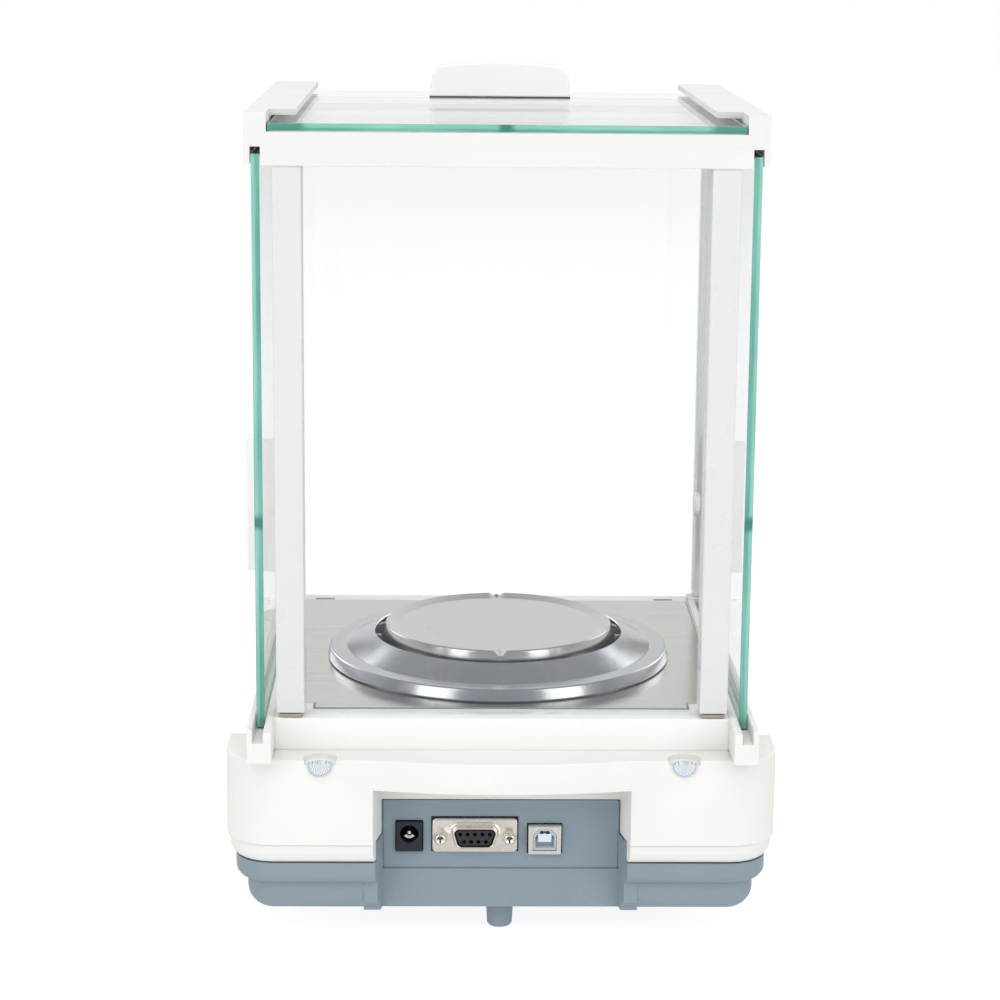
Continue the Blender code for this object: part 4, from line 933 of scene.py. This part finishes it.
def area_light(name, place, size, power, glossy=True):
    """A soft lamp that looks at the middle of the balance; glossy says whether metal mirrors it."""
    lamp = bpy.data.lights.new(name, "AREA")
    lamp.shape = "RECTANGLE"
    lamp.size, lamp.size_y = size
    lamp.energy = power
    made = bpy.data.objects.new(name, lamp)
    bpy.context.scene.collection.objects.link(made)
    made.location = place
    made.visible_glossy = glossy
    made.rotation_euler = (Vector((0, 0, 0.15)) - Vector(place)).to_track_quat("-Z", "Y").to_euler()


def sky(tree):
    """A white cove behind the glass, a darker ceiling and a darker room on the camera's side."""
    parts = tree.nodes.new("ShaderNodeSeparateXYZ")
    tree.links.new(tree.nodes.new("ShaderNodeTexCoord").outputs["Generated"], parts.inputs[0])

    def graded(value, start, end):
        made = map_range(tree, value, start, end, 0.0, 1.0)
        made.interpolation_type = "SMOOTHSTEP"
        return made.outputs[0]

    room, cove, ceiling = (0.345, 0.37, 0.40), (0.96, 0.97, 0.97), (0.375, 0.395, 0.42)
    around = mix_colours(tree, graded(parts.outputs[1], 0.35, -0.65), room, cove)
    dome = mix_colours(tree, graded(parts.outputs[2], 0.48, 0.70), around, ceiling)
    seen = tree.nodes.new("ShaderNodeLightPath").outputs["Is Camera Ray"]
    tree.links.new(mix_colours(tree, seen, dome, (1.0, 1.0, 1.0)), tree.nodes["Background"].inputs["Color"])


def studio():
    area_light("softbox_left", (1.20, 1.20, 0.70), (1.0, 1.3), 8.8)
    area_light("softbox_right", (-1.20, 1.20, 0.70), (1.0, 1.3), 8.8)
    area_light("front_left", (1.3, -1.5, 0.9), (1.2, 1.2), 6)
    area_light("front_right", (-1.3, -1.5, 0.9), (1.2, 1.2), 6)
    area_light("overhead", (0, 0.2, 2.2), (1.6, 1.6), 19, glossy=False)
    area_light("fill", (0, 2.0, 2.0), (2.4, 1.6), 20, glossy=False)
    world = bpy.data.worlds.new("studio")
    bpy.context.scene.world = world
    world.use_nodes = True
    sky(world.node_tree)


def floor():
    """Pale paper that glows by itself, and less than half as much where a glossy surface mirrors it."""
    build = bmesh.new()
    bmesh.ops.create_grid(build, x_segments=8, y_segments=8, size=6.0)
    mesh = mesh_of(build)
    made = bpy.data.objects.new("studio_floor", mesh)
    bpy.context.scene.collection.objects.link(made)
    paper = Shader("floor_paper", Specular_IOR_Level=0.1, Emission_Color=(1.0, 1.0, 1.0))
    greys = ((0.3, (0.28, 0.28, 0.28)), (0.7, (0.30, 0.30, 0.30)))
    paper.set("Base Color", paper.ramp(paper.noise(3.0), *greys))
    paper.set("Roughness", paper.spread(paper.noise(40.0), 0.7, 0.8))
    mirrored_ray = paper.node("LightPath").outputs["Is Glossy Ray"]
    paper.set("Emission Strength", paper.spread(mirrored_ray, 0.84, 0.38, 0.0, 1.0))
    mesh.materials.append(paper.material)


def camera():
    """Looks at the back of the balance from a little above and to one side."""
    pitch, yaw, roll = radians(11.832), radians(-1.192), radians(0.513)
    forward = Vector((sin(yaw) * cos(pitch), -cos(yaw) * cos(pitch), -sin(pitch)))
    made = bpy.data.objects.new("camera", bpy.data.cameras.new("camera"))
    bpy.context.scene.collection.objects.link(made)
    made.location = (0.0202, 1.0377, 0.3627)
    turn = forward.to_track_quat("-Z", "Y").to_matrix() @ Matrix.Rotation(roll, 3, "Z")
    made.rotation_euler = turn.to_euler()
    focal_by_width, sensor_width = 2.6002, 36.0
    made.data.sensor_width = sensor_width
    made.data.lens = focal_by_width * sensor_width
    made.data.shift_y = -0.030
    made.data.clip_start = 0.01
    bpy.context.scene.camera = made


studio()
floor()
camera()
bpy.context.scene.view_settings.view_transform = "Standard"
